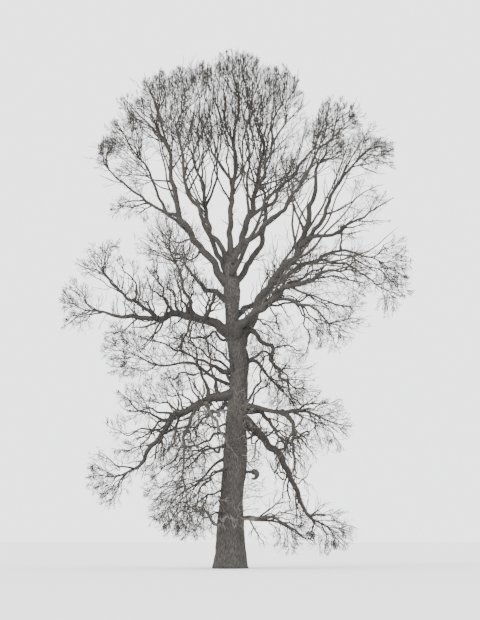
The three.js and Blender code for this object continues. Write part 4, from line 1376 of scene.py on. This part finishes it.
def tube_mesh(spray: Spray, sides: int) -> tuple[Array, Array]:
    """Thin closed tubes with pointed ends round many lines.

    Args:
        spray: The twigs.
        sides: Faces round each.

    Returns:
        The vertices and the triangles.
    """
    lines = spray.lines
    count, places = lines.shape[:2]
    chord = unit(lines[:, -1] - lines[:, 0])
    side = unit(np.cross(steady_axis(chord), chord))
    across = np.cross(chord, side)
    angles = np.linspace(0, 2 * np.pi, sides, endpoint=False)
    ring = side[:, None] * np.cos(angles)[None, :, None] + across[:, None] * np.sin(angles)[None, :, None]
    rings = lines[:, :-1, None] + ring[:, None] * spray.radii[:, :-1, None, None]
    vertices = np.concatenate([rings.reshape(count, -1, 3), lines[:, -1:]], axis=1)
    around = np.arange(sides)
    onward = (around + 1) % sides
    rows = np.arange(places - 2)[:, None] * sides
    a = rows + around
    b = rows + onward
    walls = [np.stack([a, b, a + sides], -1), np.stack([b, b + sides, a + sides], -1)]
    last = (places - 2) * sides
    point = np.stack([last + around, last + onward, np.full(sides, (places - 1) * sides)], -1)
    foot = np.stack([np.zeros(sides - 2, dtype=int), around[2:], around[1:-1]], -1)
    faces = np.concatenate([wall.reshape(-1, 3) for wall in walls] + [point, foot])
    faces = faces[None] + (np.arange(count) * vertices.shape[1])[:, None, None]
    return vertices.reshape(-1, 3), faces.reshape(-1, 3)


@dataclass
class LimbField:
    """Samples of every thick limb, which the growing twigs keep out of."""

    places: Array
    radii: Array
    cell: float = 0.3
    thick: float = 0.28
    near_thin: float = 0.6
    near_thick: float = 1.2
    clearance: float = 0.015
    batch: int = 400
    close: CrownRoom = field(init=False)

    def __post_init__(self) -> None:
        """Marks the cells that a limb comes near."""
        self.close = CrownRoom(self.cell)
        thin = self.radii < self.thick
        self.close.open_near(self.places[thin], self.near_thin)
        self.close.open_near(self.places[~thin], self.near_thick)

    def clear(self, spray: Spray, skip: int) -> Array:
        """Tells which twigs run clear of the limbs once they have left their own.

        Args:
            spray: The twigs.
            skip: Number of places at each root that aren't tested.

        Returns:
            True for each clear twig.
        """
        keep = np.ones(len(spray.lines), dtype=bool)
        tested = np.flatnonzero(self.close.open[self.close.cells(spray.lines[:, skip:])].any(axis=1))
        for begin in range(0, len(tested), self.batch):
            rows = tested[begin : begin + self.batch]
            points = spray.lines[rows, skip:].astype(np.float32)
            near = np.full(len(points), np.inf, dtype=np.float32)
            for k in range(points.shape[1]):
                gaps = norm(points[:, k, None] - self.places[None], axis=2) - self.radii[None]
                near = np.minimum(near, gaps.min(axis=1))
            keep[rows] = near > self.clearance
        return keep


@dataclass
class MainTwig:
    """A stem, fork or side twig that the solids have too."""

    line: Array
    base: float


@dataclass
class TwigMass:
    """One mass of leafless twigs that branch from one stem by the seeded rule."""

    name: str
    sizes: MassSize
    index: int
    root: Array
    away: Array | None
    base: float
    on: str = "trunk"
    stem_steps: int = 20
    fork_steps: int = 14
    twig_steps: int = 8
    fork_places: Pair = (0.1, 0.12)
    fork_share: float = 0.72
    widening: Pair = (0.35, 1.3)
    ends: Pair = (-0.12, 1.02)
    thinnest: float = 1.6
    side_share: float = 0.55
    opening: Place = (32, 24, 6)
    reach: Pair = (0.66, 0.32)
    luck: Pair = (0.8, 0.4)
    try_loss: float = 0.12
    farthest: float = 1.35
    last_side: float = 0.92
    finer_places: Place = (0.3, 0.55, 0.17)
    random: Seeded = field(init=False)
    stem: MainTwig = field(init=False)
    main: list[MainTwig] = field(default_factory=list)

    def __post_init__(self) -> None:
        """Grows the stem and the named forks."""
        self.random = Seeded(SEED + MASS_SEED_START + MASS_SEED_STEP * self.index)
        tip = np.array(self.sizes.tip)
        chord = tip - self.root
        if self.away is None:
            self.away = front_direction(self.sizes.leave, chord[1] / math.hypot(chord[0], chord[2]))
        arrive = unit(unit(chord) + UP * self.sizes.lift)
        curve = LimbCurve(self.root, tip, self.away, arrive, TWIG_SWAY, self.random)
        self.stem = MainTwig(curve.line(self.stem_steps), self.base)
        for i, fork in enumerate(self.sizes.forks):
            share = self.sizes.bare + self.fork_places[0] + self.fork_places[1] * i
            start, direction = along_line(self.stem.line, share)
            towards = unit(np.array(fork) - start)
            leave = unit(towards + direction)
            finish = unit(towards + UP * self.sizes.lift)
            curve = LimbCurve(start, np.array(fork), leave, finish, TWIG_SWAY, self.random)
            base = tapered(self.base, share) * self.fork_share
            self.main.append(MainTwig(curve.line(self.fork_steps), base))

    def inside(self, points: Array, margin: float = 0.0) -> Array:
        """Tells which points lie in the mass's own space.

        Args:
            points: Points, their coordinates along the last axis.
            margin: How far round it they still count.

        Returns:
            True for each that does.
        """
        chord = np.array(self.sizes.tip) - self.root
        share = (points - self.root) @ chord / (chord @ chord)
        off = norm(points - self.root - share[..., None] * chord, axis=-1)
        width = self.widening[0] + self.widening[1] * np.maximum(share, 0)
        room = self.sizes.spread * np.minimum(1, width) + margin
        level = (points[..., 2] > GROUND_CLEARANCE) & (points[..., 2] < TREE_HEIGHT)
        return (share > self.ends[0]) & (share < self.ends[1]) & (off < room) & level

    def side_twig(
            self, parent: MainTwig, share: float, order: int, number: int, taken: Taken) -> MainTwig | None:
        """Grows one side twig, tried at several turns until it is clear.

        Args:
            parent: What it grows on.
            share: Where on the parent.
            order: 1 on the stem, 2 on a fork or side twig.
            number: Its place in the spiral of twigs.
            taken: What it keeps off.

        Returns:
            The twig, or None where no turn is clear.
        """
        point, direction = along_line(parent.line, share)
        length = line_lengths(parent.line)[-1]
        base = max(self.thinnest * TIP_RADIUS, tapered(parent.base, share) * self.side_share)
        side = unit(np.cross(direction, steady_axis(direction)))
        across = np.cross(direction, side)
        for attempt in range(TWIG_TRIES):
            turn = number * GOLDEN_TURN + attempt * TRY_TURN + self.random()
            opening = self.opening[0] + self.opening[1] * self.random() + self.opening[2] * order
            opening = math.radians(opening)
            grown = length * (self.reach[0] - self.reach[1] * share)
            grown = grown * (self.luck[0] + self.luck[1] * self.random()) * (1 - self.try_loss * attempt)
            leave = direction * math.cos(opening) + side * math.sin(opening) * math.cos(turn)
            leave = leave + across * math.sin(opening) * math.sin(turn)
            arrive = unit(leave + UP * ARRIVING_LIFT * self.sizes.lift)
            reach = min(grown, self.farthest * self.sizes.spread)
            tip = point + unit(leave + UP * self.sizes.lift) * reach
            line = LimbCurve(point, tip, leave, arrive, TWIG_SWAY, self.random).line(self.twig_steps)
            if self.inside(line[1:]).all() and taken.clear(line[::4], base, self.name):
                return MainTwig(line, base)
        return None

    def grow_main(self, taken: Taken) -> None:
        """Grows the side twigs that the solids have, and one finer twig on each.

        Args:
            taken: What they keep off, which they are added to.
        """
        for i in range(SIDE_TWIGS):
            share = self.sizes.bare + (self.last_side - self.sizes.bare) * (((i + 1) * GOLDEN_SHARE) % 1)
            twig = self.side_twig(self.stem, share, 1, i, taken)
            if twig:
                self.main.append(twig)
        first, span, step = self.finer_places
        for i, parent in enumerate(list(self.main)):
            share = first + span * ((GOLDEN_SHARE + step * i) % 1)
            twig = self.side_twig(parent, share, 2, i, taken)
            if twig:
                self.main.append(twig)
        for twig in self.main:
            taken.add(twig.line[::2], [twig.base] * len(twig.line[::2]), self.name)

    def main_hosts(self, numbers: Numbers) -> list[Spray]:
        """The forks and side twigs, made crooked, as hosts of finer twigs.

        Args:
            numbers: Seeded numbers.

        Returns:
            One spray for each.
        """
        hosts = []
        for twig in self.main:
            radii = tapered(twig.base, np.linspace(0, 1, len(twig.line)), MAIN_TWIG_TIP)
            line = crooked(twig.line, MAIN_TWIG_CROOK[0] + MAIN_TWIG_CROOK[1] * twig.base, numbers)
            hosts.append(resampled(line, radii, MAIN_HOST_STEPS, self.index, self.sizes.lift))
        return hosts

    def stem_host(self) -> Spray:
        """The stem as the host of side branches."""
        radii = tapered(self.base, np.linspace(0, 1, len(self.stem.line)), STEM_TIP, STEM_POWER)
        return resampled(self.stem.line, radii, STEM_HOST_STEPS, self.index, self.sizes.lift, self.sizes.bare)


def joined_mesh(name: str, parts: Sequence[tuple[Array, Array]]) -> Piece:
    """Makes one mesh object from arrays.

    Args:
        name: Name of the piece.
        parts: Vertices and triangles of each part.

    Returns:
        The new object.
    """
    shifts = np.cumsum([0] + [len(vertices) for vertices, _ in parts])
    vertices = np.concatenate([vertices for vertices, _ in parts])
    faces = np.concatenate([faces + shift for (_, faces), shift in zip(parts, shifts)])
    mesh = bpy.data.meshes.new(name)
    mesh.vertices.add(len(vertices))
    mesh.vertices.foreach_set("co", vertices.astype(np.float32).ravel())
    mesh.loops.add(faces.size)
    mesh.loops.foreach_set("vertex_index", faces.astype(np.int32).ravel())
    mesh.polygons.add(len(faces))
    mesh.polygons.foreach_set("loop_start", np.arange(0, faces.size, 3, dtype=np.int32))
    mesh.update(calc_edges=True)
    piece = bpy.data.objects.new(name, mesh)
    bpy.context.collection.objects.link(piece)
    return piece


@dataclass
class TwigGrowth:
    """The finer twigs of the whole tree, grown order by order, each where there is room."""

    limbs: LimbField
    masses: Sequence[TwigMass]
    numbers: Numbers
    branch_room: CrownRoom = field(init=False)
    twig_room: CrownRoom = field(init=False)
    groups: list[tuple[Spray, int]] = field(default_factory=list)

    def __post_init__(self) -> None:
        """Opens the air round every mass and limb."""
        self.branch_room = CrownRoom(BRANCH_CELL)
        self.twig_room = CrownRoom(TWIG_CELL)
        for room in (self.branch_room, self.twig_room):
            centres = room.centres()
            for mass in self.masses:
                room.open |= mass.inside(centres, MASS_ROOM)
            room.open_near(self.limbs.places[self.limbs.radii > LIMB_ROOM_RADIUS], LIMB_ROOM)
            room.open &= centres[..., 2] > GROUND_CLEARANCE

    def kept(self, spray: Spray, skip: int) -> Spray:
        """The twigs that stay in the tree's box and out of its limbs.

        Args:
            spray: The twigs.
            skip: Number of places at each root that aren't tested against the limbs.

        Returns:
            The twigs that are kept.
        """
        low = np.array(CAD_BOX[0]) - BOX_MARGIN
        high = np.array(CAD_BOX[1]) + BOX_MARGIN
        low[2] = GROUND_CLEARANCE
        high[2] = TREE_HEIGHT
        spray = spray.chosen(((spray.lines > low) & (spray.lines < high)).all(axis=(1, 2)))
        return spray.chosen(self.limbs.clear(spray, skip))

    def thinned(self, spray: Spray, inner: float) -> Spray:
        """Fewer twigs deep in the crown, and fewer in masses seen end on, where the sky shows through.

        Args:
            spray: The twigs.
            inner: Share that stays deep in the crown.

        Returns:
            The twigs that are kept.
        """
        chance = np.ones(len(spray.owners))
        for mass in self.masses:
            mine = spray.owners == mass.index
            chord = np.array(mass.sizes.tip) - mass.root
            share = (spray.lines[mine, -1] - mass.root) @ chord / (chord @ chord)
            open_crown = np.clip(inner + (1 - inner) * (share - INNER_START) / INNER_REACH, inner, 1)
            end_on = abs(chord[1]) / norm(chord)
            chance[mine] = open_crown * (1 - END_ON_LOSS * end_on)
        return spray.chosen(self.numbers.random(len(chance)) < chance)

    def add(self, spray: Spray, sides: int) -> Spray:
        """Keeps a spray for the meshes, with so many faces round each twig, and gives it back."""
        self.groups.append((spray, sides))
        return spray

    def fans(self, hosts: Sequence[Spray], habit: Habit, room: CrownRoom) -> Spray:
        """Grows side branches on limbs or stems, where the cells of a room let them."""
        grown = habit.grow(joined_sprays(hosts), room, self.numbers)
        return self.add(self.kept(grown, 2), habit.sides)

    def order(self, parents: Sequence[Spray], habit: Habit, inner: float) -> Spray:
        """Grows the next order of twigs, of which the inner share stays deep in the crown."""
        grown = joined_sprays([habit.grow(spray, self.twig_room, self.numbers) for spray in parents])
        return self.add(self.kept(self.thinned(grown, inner), 1), habit.sides)

    def build(self, name: str, owner: int, bark: Material, *nodes: str) -> None:
        """Makes the mesh of one owner's twigs.

        Args:
            name: Name of the piece.
            owner: Whose twigs it holds.
            bark: The twigs' material.
            nodes: CAD nodes that it stands for.
        """
        parts = [(spray.chosen(spray.owners == owner), sides) for spray, sides in self.groups]
        parts = [tube_mesh(spray, sides) for spray, sides in parts if len(spray.owners)]
        finish_piece(joined_mesh(name, parts), Skin.TWIG, bark, *nodes)


class Wave:
    """A shader socket that takes part in plain arithmetic."""

    def __init__(self, tree: "Shader", socket: bpy.types.NodeSocket) -> None:
        """Wraps an output socket of a shader."""
        self.tree = tree
        self.socket = socket

    def _math(self, operation: str, first: object, second: object) -> "Wave":
        """Adds a Math node on two values or links."""
        return self.tree.node("ShaderNodeMath", {"operation": operation}, {0: first, 1: second})[0]

    def __add__(self, other: object) -> "Wave":
        """Sum."""
        return self._math("ADD", self, other)

    __radd__ = __add__

    def __sub__(self, other: object) -> "Wave":
        """Difference."""
        return self._math("SUBTRACT", self, other)

    def __rsub__(self, other: object) -> "Wave":
        """Reflected difference."""
        return self._math("SUBTRACT", other, self)

    def __mul__(self, other: object) -> "Wave":
        """Product."""
        return self._math("MULTIPLY", self, other)

    __rmul__ = __mul__


class Shader:
    """One material's node tree."""

    def __init__(self, name: str) -> None:
        """Starts an empty material.

        Args:
            name: Its name.
        """
        self.material = bpy.data.materials.new(name)
        self.material.use_nodes = True
        self.tree = self.material.node_tree
        self.tree.nodes.clear()

    def node(self, kind: str, settings: dict[str, object], sockets: dict[int | str, object]) -> list[Wave]:
        """Adds a node.

        Args:
            kind: Blender's node type.
            settings: Properties that are set first; "stops" is a ramp's list of place and colour.
            sockets: Values or links of its inputs, by name or number.

        Returns:
            Its outputs.
        """
        made = self.tree.nodes.new(kind)
        for key, value in settings.items():
            if key == "stops":
                ramp = made.color_ramp
                while len(ramp.elements) < len(value):
                    ramp.elements.new(0.5)
                for element, (place, colour) in zip(ramp.elements, value):
                    element.position = place
                    element.color = colour
            else:
                setattr(made, key, value)
        for key, value in sockets.items():
            if isinstance(value, Wave):
                self.tree.links.new(value.socket, made.inputs[key])
            else:
                made.inputs[key].default_value = value
        return [Wave(self, socket) for socket in made.outputs]

    def mixed(self, factor: object, first: object, second: object) -> Wave:
        """Mixes two colours, the first at factor 0 and the second at 1."""
        return self.node("ShaderNodeMix", {"data_type": "RGBA"}, {0: factor, 6: first, 7: second})[2]

    def noise(self, place: Wave, scale: float, detail: float, roughness: float) -> Wave:
        """Adds noise of a fineness, with so many finer layers of a strength."""
        sockets = {"Vector": place, "Scale": scale, "Detail": detail, "Roughness": roughness}
        return self.node("ShaderNodeTexNoise", {}, sockets)[0]

    def spread(self, value: Wave, edges: Pair, top: float = 1.0) -> Wave:
        """Spreads a value from one edge to the other over 0 to a top, and clips it there."""
        sockets = {"Value": value, "From Min": edges[0], "From Max": edges[1], "To Max": top}
        return self.node("ShaderNodeMapRange", {}, sockets)[0]

    def surface(self, colour: object, roughness: object, height: Wave | None, depth: float) -> None:
        """Ends the material in a Principled shader.

        Args:
            colour: Base colour or its link.
            roughness: Roughness or its link.
            height: Relief that the bump follows.
            depth: The relief's depth in metres.
        """
        sockets = {"Base Color": colour, "Roughness": roughness, "Specular IOR Level": 0.25}
        if height:
            relief = {"Strength": 1.0, "Distance": depth, "Height": height}
            sockets["Normal"] = self.node("ShaderNodeBump", {}, relief)[0]
        shader = self.node("ShaderNodeBsdfPrincipled", {}, sockets)[0]
        self.node("ShaderNodeOutputMaterial", {}, {"Surface": shader})


@dataclass(frozen=True)
class BarkFinish:
    """Furrowed bark: cracks darker partly in the bark's own colour and partly as painted shade, paler ridges
    and grey-green lichen.
    """

    name: str
    # Colour in the cracks: partly the bark's own darker fissures, partly painted shade
    furrow_and_shade: Colour
    ridge: Colour
    lichen: Colour
    cell: float
    stretch: float
    depth: float
    crack_edges: Pair = (0.02, 0.28)
    grain_fineness: float = 3.2
    patch_fineness: float = 0.9
    patch_edges: Pair = (0.52, 0.7)
    lichen_strength: float = 0.55
    gloss: float = 0.18

    def material(self) -> Material:
        """Builds the material.

        Returns:
            The new material.
        """
        shader = Shader(self.name)
        place = shader.node("ShaderNodeAttribute", {"attribute_name": "bark_place"}, {})[1]
        scale = (1 / self.cell, 1 / self.cell, 1 / self.cell / self.stretch)
        stretched = shader.node("ShaderNodeMapping", {}, {"Vector": place, "Scale": scale})[0]
        cracks = shader.node(
            "ShaderNodeTexVoronoi", {"feature": "DISTANCE_TO_EDGE"}, {"Vector": stretched, "Scale": 1.0})[0]
        crack = shader.spread(cracks, self.crack_edges)
        grain = shader.noise(stretched, self.grain_fineness, 5.0, 0.65)
        patches = shader.noise(place, self.patch_fineness, 4.0, 0.6)
        mask = shader.spread(patches, self.patch_edges, self.lichen_strength)
        # Partly painted shade: the colour falls to the crack colour where the cracks lie lowest in the bump,
        # partly the bark's own darker fissures
        colour = shader.mixed(crack * (0.35 + grain * 1.1), self.furrow_and_shade, self.ridge)
        colour = shader.mixed(mask * crack, colour, self.lichen)
        height = crack * 0.75 + grain * 0.35
        shader.surface(colour, 1.0 - grain * self.gloss, height, self.depth)
        return shader.material


@dataclass(frozen=True)
class TwigFinish:
    """Thin smooth bark with small changes of tone from twig to twig."""

    name: str
    dark: Colour
    light: Colour
    tone_fineness: float = 1.6
    tone_edges: Pair = (0.35, 0.65)
    grain_fineness: float = 60.0
    grain_depth: float = 0.002
    roughness: float = 0.95
    gloss: float = 0.15

    def material(self) -> Material:
        """Builds the material.

        Returns:
            The new material.
        """
        shader = Shader(self.name)
        place = shader.node("ShaderNodeTexCoord", {}, {})[3]
        tone = shader.spread(shader.noise(place, self.tone_fineness, 3.0, 0.6), self.tone_edges)
        grain = shader.noise(place, self.grain_fineness, 2.0, 0.5)
        colour = shader.mixed(tone, self.dark, self.light)
        shader.surface(colour, self.roughness - grain * self.gloss, grain, self.grain_depth)
        return shader.material


# The first colour of each bark darkens its cracks: partly the bark's own colour, partly painted shade
TRUNK_BARK = BarkFinish(
    "trunk_bark_finish", furrow_and_shade=(0.032, 0.029, 0.027, 1), ridge=(0.1, 0.093, 0.085, 1),
    lichen=(0.13, 0.132, 0.115, 1), cell=0.042, stretch=9.0, depth=0.01)
BOUGH_BARK = BarkFinish(
    "bough_bark_finish", furrow_and_shade=(0.03, 0.027, 0.025, 1), ridge=(0.078, 0.072, 0.066, 1),
    lichen=(0.09, 0.094, 0.08, 1), cell=0.03, stretch=5.0, depth=0.007)
# Painted light: a brighter copy of the bough bark, standing for the light on branches seen in front of the
# shaded trunk
PAINTED_LIGHT_BARK = BarkFinish(
    "pale_bark_finish", furrow_and_shade=(0.07, 0.065, 0.06, 1), ridge=(0.17, 0.16, 0.148, 1),
    lichen=(0.2, 0.2, 0.18, 1), cell=0.03, stretch=5.0, depth=0.007)
TWIG_BARK = TwigFinish("twig_bark_finish", dark=(0.042, 0.038, 0.034, 1), light=(0.078, 0.07, 0.063, 1))
# Painted light: the shoots on the trunk take a brighter copy of the twig bark, standing for the light on them
# against the shaded trunk
PAINTED_LIGHT_SHOOT_BARK = TwigFinish("pale_shoot_finish", dark=(0.12, 0.11, 0.1, 1), light=(0.24, 0.22, 0.2, 1))


@dataclass
class Studio:
    """Pale floor, soft light and the camera at the photograph's angle."""

    camera_distance: float = CAMERA_DISTANCE
    eye_height: float = EYE_HEIGHT
    aim_height: float = 14.08
    aim_side: float = 0.58
    frame_height: float = 34.1
    sensor: float = 36.0
    farthest: float = 4000.0
    floor_size: float = 3000.0
    floor_drop: float = 0.002
    floor_colour: Colour = (0.72, 0.72, 0.71, 1)
    floor_roughness: float = 0.9
    sun_place: Place = (-30, -40, 60)
    sun_tilt: float = 48
    sun_turn: float = -35
    sun_strength: float = 2.6
    sun_width: float = 25
    sky_colour: Colour = (0.92, 0.93, 0.94, 1)
    sky_strength: float = 3.15

    def build(self) -> None:
        """Sets up the camera, the floor and the lights."""
        self._camera()
        self._floor()
        self._lights()

    def _camera(self) -> None:
        """Adds the camera."""
        deselect_all()
        rise = math.atan2(self.aim_height - self.eye_height, self.camera_distance)
        place = (self.aim_side, -self.camera_distance, self.eye_height)
        bpy.ops.object.camera_add(location=place, rotation=(math.pi / 2 + rise, 0, 0))
        camera = bpy.context.object
        camera.data.sensor_width = self.sensor
        camera.data.sensor_fit = "AUTO"
        reach = self.camera_distance / math.cos(rise)
        camera.data.lens = self.sensor * reach / self.frame_height
        camera.data.clip_end = self.farthest
        bpy.context.scene.camera = camera

    def _floor(self) -> None:
        """Adds the pale floor."""
        deselect_all()
        bpy.ops.mesh.primitive_plane_add(size=self.floor_size, location=(0, 0, -self.floor_drop))
        floor = bpy.context.object
        floor.name = "floor"
        shader = Shader("pale_floor")
        shader.surface(self.floor_colour, self.floor_roughness, None, 0)
        floor.data.materials.append(shader.material)

    def _lights(self) -> None:
        """Adds a soft sun and an even sky."""
        tilt = (math.radians(self.sun_tilt), 0, math.radians(self.sun_turn))
        bpy.ops.object.light_add(type="SUN", location=self.sun_place, rotation=tilt)
        sun = bpy.context.object.data
        sun.energy = self.sun_strength
        sun.angle = math.radians(self.sun_width)
        world = bpy.context.scene.world or bpy.data.worlds.new("sky")
        bpy.context.scene.world = world
        world.use_nodes = True
        sky = world.node_tree.nodes["Background"]
        sky.inputs["Color"].default_value = self.sky_colour
        sky.inputs["Strength"].default_value = self.sky_strength


# Which limbs bear the brighter bark of painted light, standing for the light on them in front of the shaded
# trunk, and which bear rising shoots and hanging shoots
PAINTED_LIGHT_BRANCHES = ("front_stooping_branch", "front_waist_branch", "left_foot_rising_branch")
RISING_BOUGHS = (
    "left_long_bough", "left_rising_bough", "left_low_bough", "right_hanging_bough", "back_low_bough",
    "back_right_bough", "front_left_bough",
)
HANGING_BOUGHS = (
    "left_long_bough", "left_low_bough", "front_right_bough", "left_hanging_bough",
    "back_low_bough", "right_hanging_bough",
)


@dataclass
class OakTree:
    """The whole tree: trunk, boughs, branches and twig masses."""

    trunk: Trunk = field(default_factory=Trunk)
    boughs: dict[str, Bough] = field(default_factory=dict)
    branches: dict[str, Bough] = field(default_factory=dict)
    masses: dict[str, TwigMass] = field(default_factory=dict)
    limbs: list[Limb] = field(default_factory=list)
    trunk_room: float = 1.15
    trunk_samples: int = 90
    shoot_samples: int = 60
    shoot_margin: float = 1.0
    shoot_droop: float = -0.1
    main_sides: int = 6
    steep_angles: Pair = (45, 135)
    rising_lift: float = 1.3
    hanging_lift: float = -1.0

    def _bough(self, name: str, sizes: BoughSize, seed: int) -> Bough:
        """Works out one bough's curve from its sizes.

        Args:
            name: Name of the bough.
            sizes: Its sizes.
            seed: Seed of its sway.

        Returns:
            The bough.
        """
        parent = self.boughs.get(sizes.on) or self.branches.get(sizes.on)
        mass = self.masses.get(sizes.on)
        if mass:
            root = along_line(mass.stem.line, sizes.at)[0]
            parent_radius = tapered(mass.base, sizes.at)
        elif parent:
            root = along_line(parent.line, sizes.at)[0]
            parent_radius = parent.sizes.base + (parent.sizes.end - parent.sizes.base) * sizes.at
        else:
            root = self.trunk.centre(sizes.at)
            parent_radius = self.trunk.size(Measure.RADIUS, sizes.at)
        tip = np.array(sizes.tip)
        depth = (tip[1] - root[1]) / math.hypot(tip[0] - root[0], tip[2] - root[2])
        leave = front_direction(sizes.leave, depth)
        arrive = front_direction(sizes.arrive, depth)
        curve = LimbCurve(root, tip, leave, arrive, SWAY_SHARE, Seeded(seed))
        return Bough(name, sizes, curve, parent_radius)

    def lay_out(self) -> None:
        """Works out the lines of every limb and main twig, in the solids' order."""
        for index, (name, *row) in enumerate(BOUGHS):
            self.boughs[name] = self._bough(name, BoughSize(*row), SEED + BOUGH_SEED_STEP * index)
        pairs = zip_longest(self.boughs.values(), BOUGH_MASSES + TRUNK_MASSES)
        for index, (bough, (name, *row)) in enumerate(pairs):
            sizes = MassSize(*row)
            if bough:
                root, away = bough.line[-1], unit(bough.line[-1] - bough.line[-2])
                mass = TwigMass(name, sizes, index, root, away, bough.sizes.end, bough.name)
            else:
                mass = TwigMass(name, sizes, index, self.trunk.centre(sizes.at), None, sizes.base)
            self.masses[name] = mass
        for index, (name, *row) in enumerate(BRANCHES):
            seed = SEED + BRANCH_SEED_START + BOUGH_SEED_STEP * index
            self.branches[name] = self._bough(name, BoughSize(*row), seed)
        self._grow()
        self._make_limbs()

    def _grow(self) -> None:
        """Grows each mass's main twigs clear of all the rest."""
        taken = Taken()
        stations = self.trunk.stations
        centres = np.array([self.trunk.centre(station.height) for station in stations])
        taken.add(centres, [station.radius * self.trunk_room for station in stations], "trunk")
        for name, bough in self.boughs.items():
            taken.add(bough.line[::4], bough.radii()[::4], name)
        for name, mass in self.masses.items():
            for twig in [mass.stem, *mass.main]:
                line = twig.line[::2]
                taken.add(line, tapered(twig.base, np.linspace(0, 1, len(line))), name)
        for mass in self.masses.values():
            mass.grow_main(taken)

    def _mass_on(self, name: str) -> TwigMass:
        """The mass that carries a bough on."""
        return next(mass for mass in self.masses.values() if mass.on == name)

    def _make_limbs(self) -> None:
        """Joins each bough with the stem that carries it on."""
        for name, bough in self.boughs.items():
            stem = self._mass_on(name).stem.line[1:]
            shares = np.linspace(0, 1, len(stem) + 1)[1:]
            radii = np.concatenate([bough.radii(), tapered(bough.sizes.end, shares, STEM_TIP, STEM_POWER)])
            line = np.concatenate([bough.line, stem])
            self.limbs.append(Limb(f"{name}_with_bark", line, radii, (name,)))
        for name, mass in self.masses.items():
            if mass.on != "trunk":
                continue
            walked = line_lengths(mass.stem.line)
            radii = tapered(mass.base, walked / walked[-1], STEM_TIP)
            radii = radii + collar(mass.base, walked, self.trunk.size(Measure.RADIUS, mass.sizes.at))
            self.limbs.append(Limb(f"{name}_stem", mass.stem.line, radii))
        for name, branch in self.branches.items():
            self.limbs.append(Limb(name, branch.line, branch.radii()))

    def limb_field(self) -> LimbField:
        """Samples the trunk and every limb.

        Returns:
            What the growing twigs keep out of.
        """
        heights = np.linspace(0, TRUNK_TOP, self.trunk_samples)
        places = [np.array([self.trunk.centre(z) for z in heights])]
        radii = [self.trunk.sizes(Measure.RADIUS, heights)]
        for limb in self.limbs:
            places.append(limb.line[::2])
            radii.append(limb.radii[::2])
        return LimbField(np.concatenate(places).astype(np.float32), np.concatenate(radii).astype(np.float32))

    def build(self) -> None:
        """Models every piece."""
        self.trunk.build(TRUNK_BARK.material())
        bough_bark = BOUGH_BARK.material()
        painted_light_bark = PAINTED_LIGHT_BARK.material()
        for limb in self.limbs:
            # Painted light: the branches in front of the trunk take the brighter copy of the bough bark
            limb.build(painted_light_bark if limb.name in PAINTED_LIGHT_BRANCHES else bough_bark)
        growth = self.grow_twigs()
        twig_bark = TWIG_BARK.material()
        for mass in self.masses.values():
            growth.build(f"{mass.name}_grown", mass.index, twig_bark, mass.name)
        growth.build("crown_branch_twigs", CROWN_OWNER, twig_bark)
        growth.build("low_branch_twigs", LOW_OWNER, twig_bark)
        # Painted light: the trunk's shoots are brighter than the other twigs of the same kind
        growth.build("trunk_shoots", TRUNK_OWNER, PAINTED_LIGHT_SHOOT_BARK.material())

    def grow_twigs(self) -> TwigGrowth:
        """Grows every order of the finer twigs.

        Returns:
            The grown twigs.
        """
        numbers = np.random.default_rng(SEED)
        masses = list(self.masses.values())
        growth = TwigGrowth(self.limb_field(), masses, numbers)
        mains = [host for mass in masses for host in mass.main_hosts(numbers)]
        stems = [mass.stem_host() for mass in masses]
        low, high = self.steep_angles
        steep = [name for name, bough in self.boughs.items() if low < bough.sizes.arrive < high]
        leaders = self._hosts(steep)
        others = self._hosts([name for name in self.boughs if name not in steep])
        rising = self._hosts(RISING_BOUGHS, self.rising_lift)
        hanging = self._hosts(HANGING_BOUGHS, self.hanging_lift)
        branches = [branch.host() for branch in self.branches.values()]
        growth.add(joined_sprays(mains), self.main_sides)
        for hosts in (mains, stems, leaders, others, branches):
            growth.branch_room.hold(joined_sprays(hosts))
            growth.twig_room.hold(joined_sprays(hosts))
        fans = [
            growth.fans(leaders, LEADER_FAN, growth.branch_room),
            growth.fans(others, LIMB_FAN, growth.branch_room),
            growth.fans(stems, STEM_FAN, growth.branch_room),
        ]
        for fan in fans:
            growth.twig_room.hold(fan)
        shoots = [
            growth.fans(rising, RISING_SHOOT, growth.twig_room),
            growth.fans(hanging, HANGING_SHOOT, growth.twig_room),
            growth.fans(leaders + others, CURLY_SHOOT, growth.twig_room),
            growth.fans([self._trunk_host()], TRUNK_SHOOT, growth.twig_room),
        ]
        parents = [joined_sprays(mains), joined_sprays(branches), *fans, *shoots[:2]]
        second = growth.order(parents, SECOND_FAN, INNER_SHARES[0])
        third = growth.order([second, *shoots[2:]], THIRD_FAN, INNER_SHARES[1])
        growth.order([third], LAST_FAN, INNER_SHARES[2])
        return growth

    def _hosts(self, names: Sequence[str], lift: float | None = None) -> list[Spray]:
        """Boughs, each with the stem that carries it on, as hosts of side branches.

        Args:
            names: The boughs.
            lift: How much the branches lift, where it isn't as in each bough's own mass.

        Returns:
            One spray for each, in the order of the boughs.
        """
        hosts = []
        for limb in self.limbs:
            for name in set(limb.nodes).intersection(names):
                mass = self._mass_on(name)
                rise = mass.sizes.lift if lift is None else lift
                hosts.append(resampled(limb.line, limb.radii, LIMB_HOST_STEPS, mass.index, rise))
        return hosts

    def _trunk_host(self) -> Spray:
        """The trunk as the host of the thin shoots that stand out from it.

        Returns:
            A spray of one.
        """
        heights = np.linspace(self.shoot_margin, TRUNK_TOP - self.shoot_margin, self.shoot_samples)
        line = np.array([self.trunk.centre(z) for z in heights])
        radii = self.trunk.sizes(Measure.RADIUS, heights)
        return resampled(line, radii, LIMB_HOST_STEPS, TRUNK_OWNER, self.shoot_droop)


def write_sizes() -> None:
    """Updates the view layer."""
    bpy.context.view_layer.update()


def main() -> None:
    """Builds the studio and the tree in order."""
    logging.basicConfig(level=logging.INFO, format="%(message)s")
    Studio().build()
    tree = OakTree()
    tree.lay_out()
    tree.build()
    write_sizes()


if __name__ == "__main__":
    main()
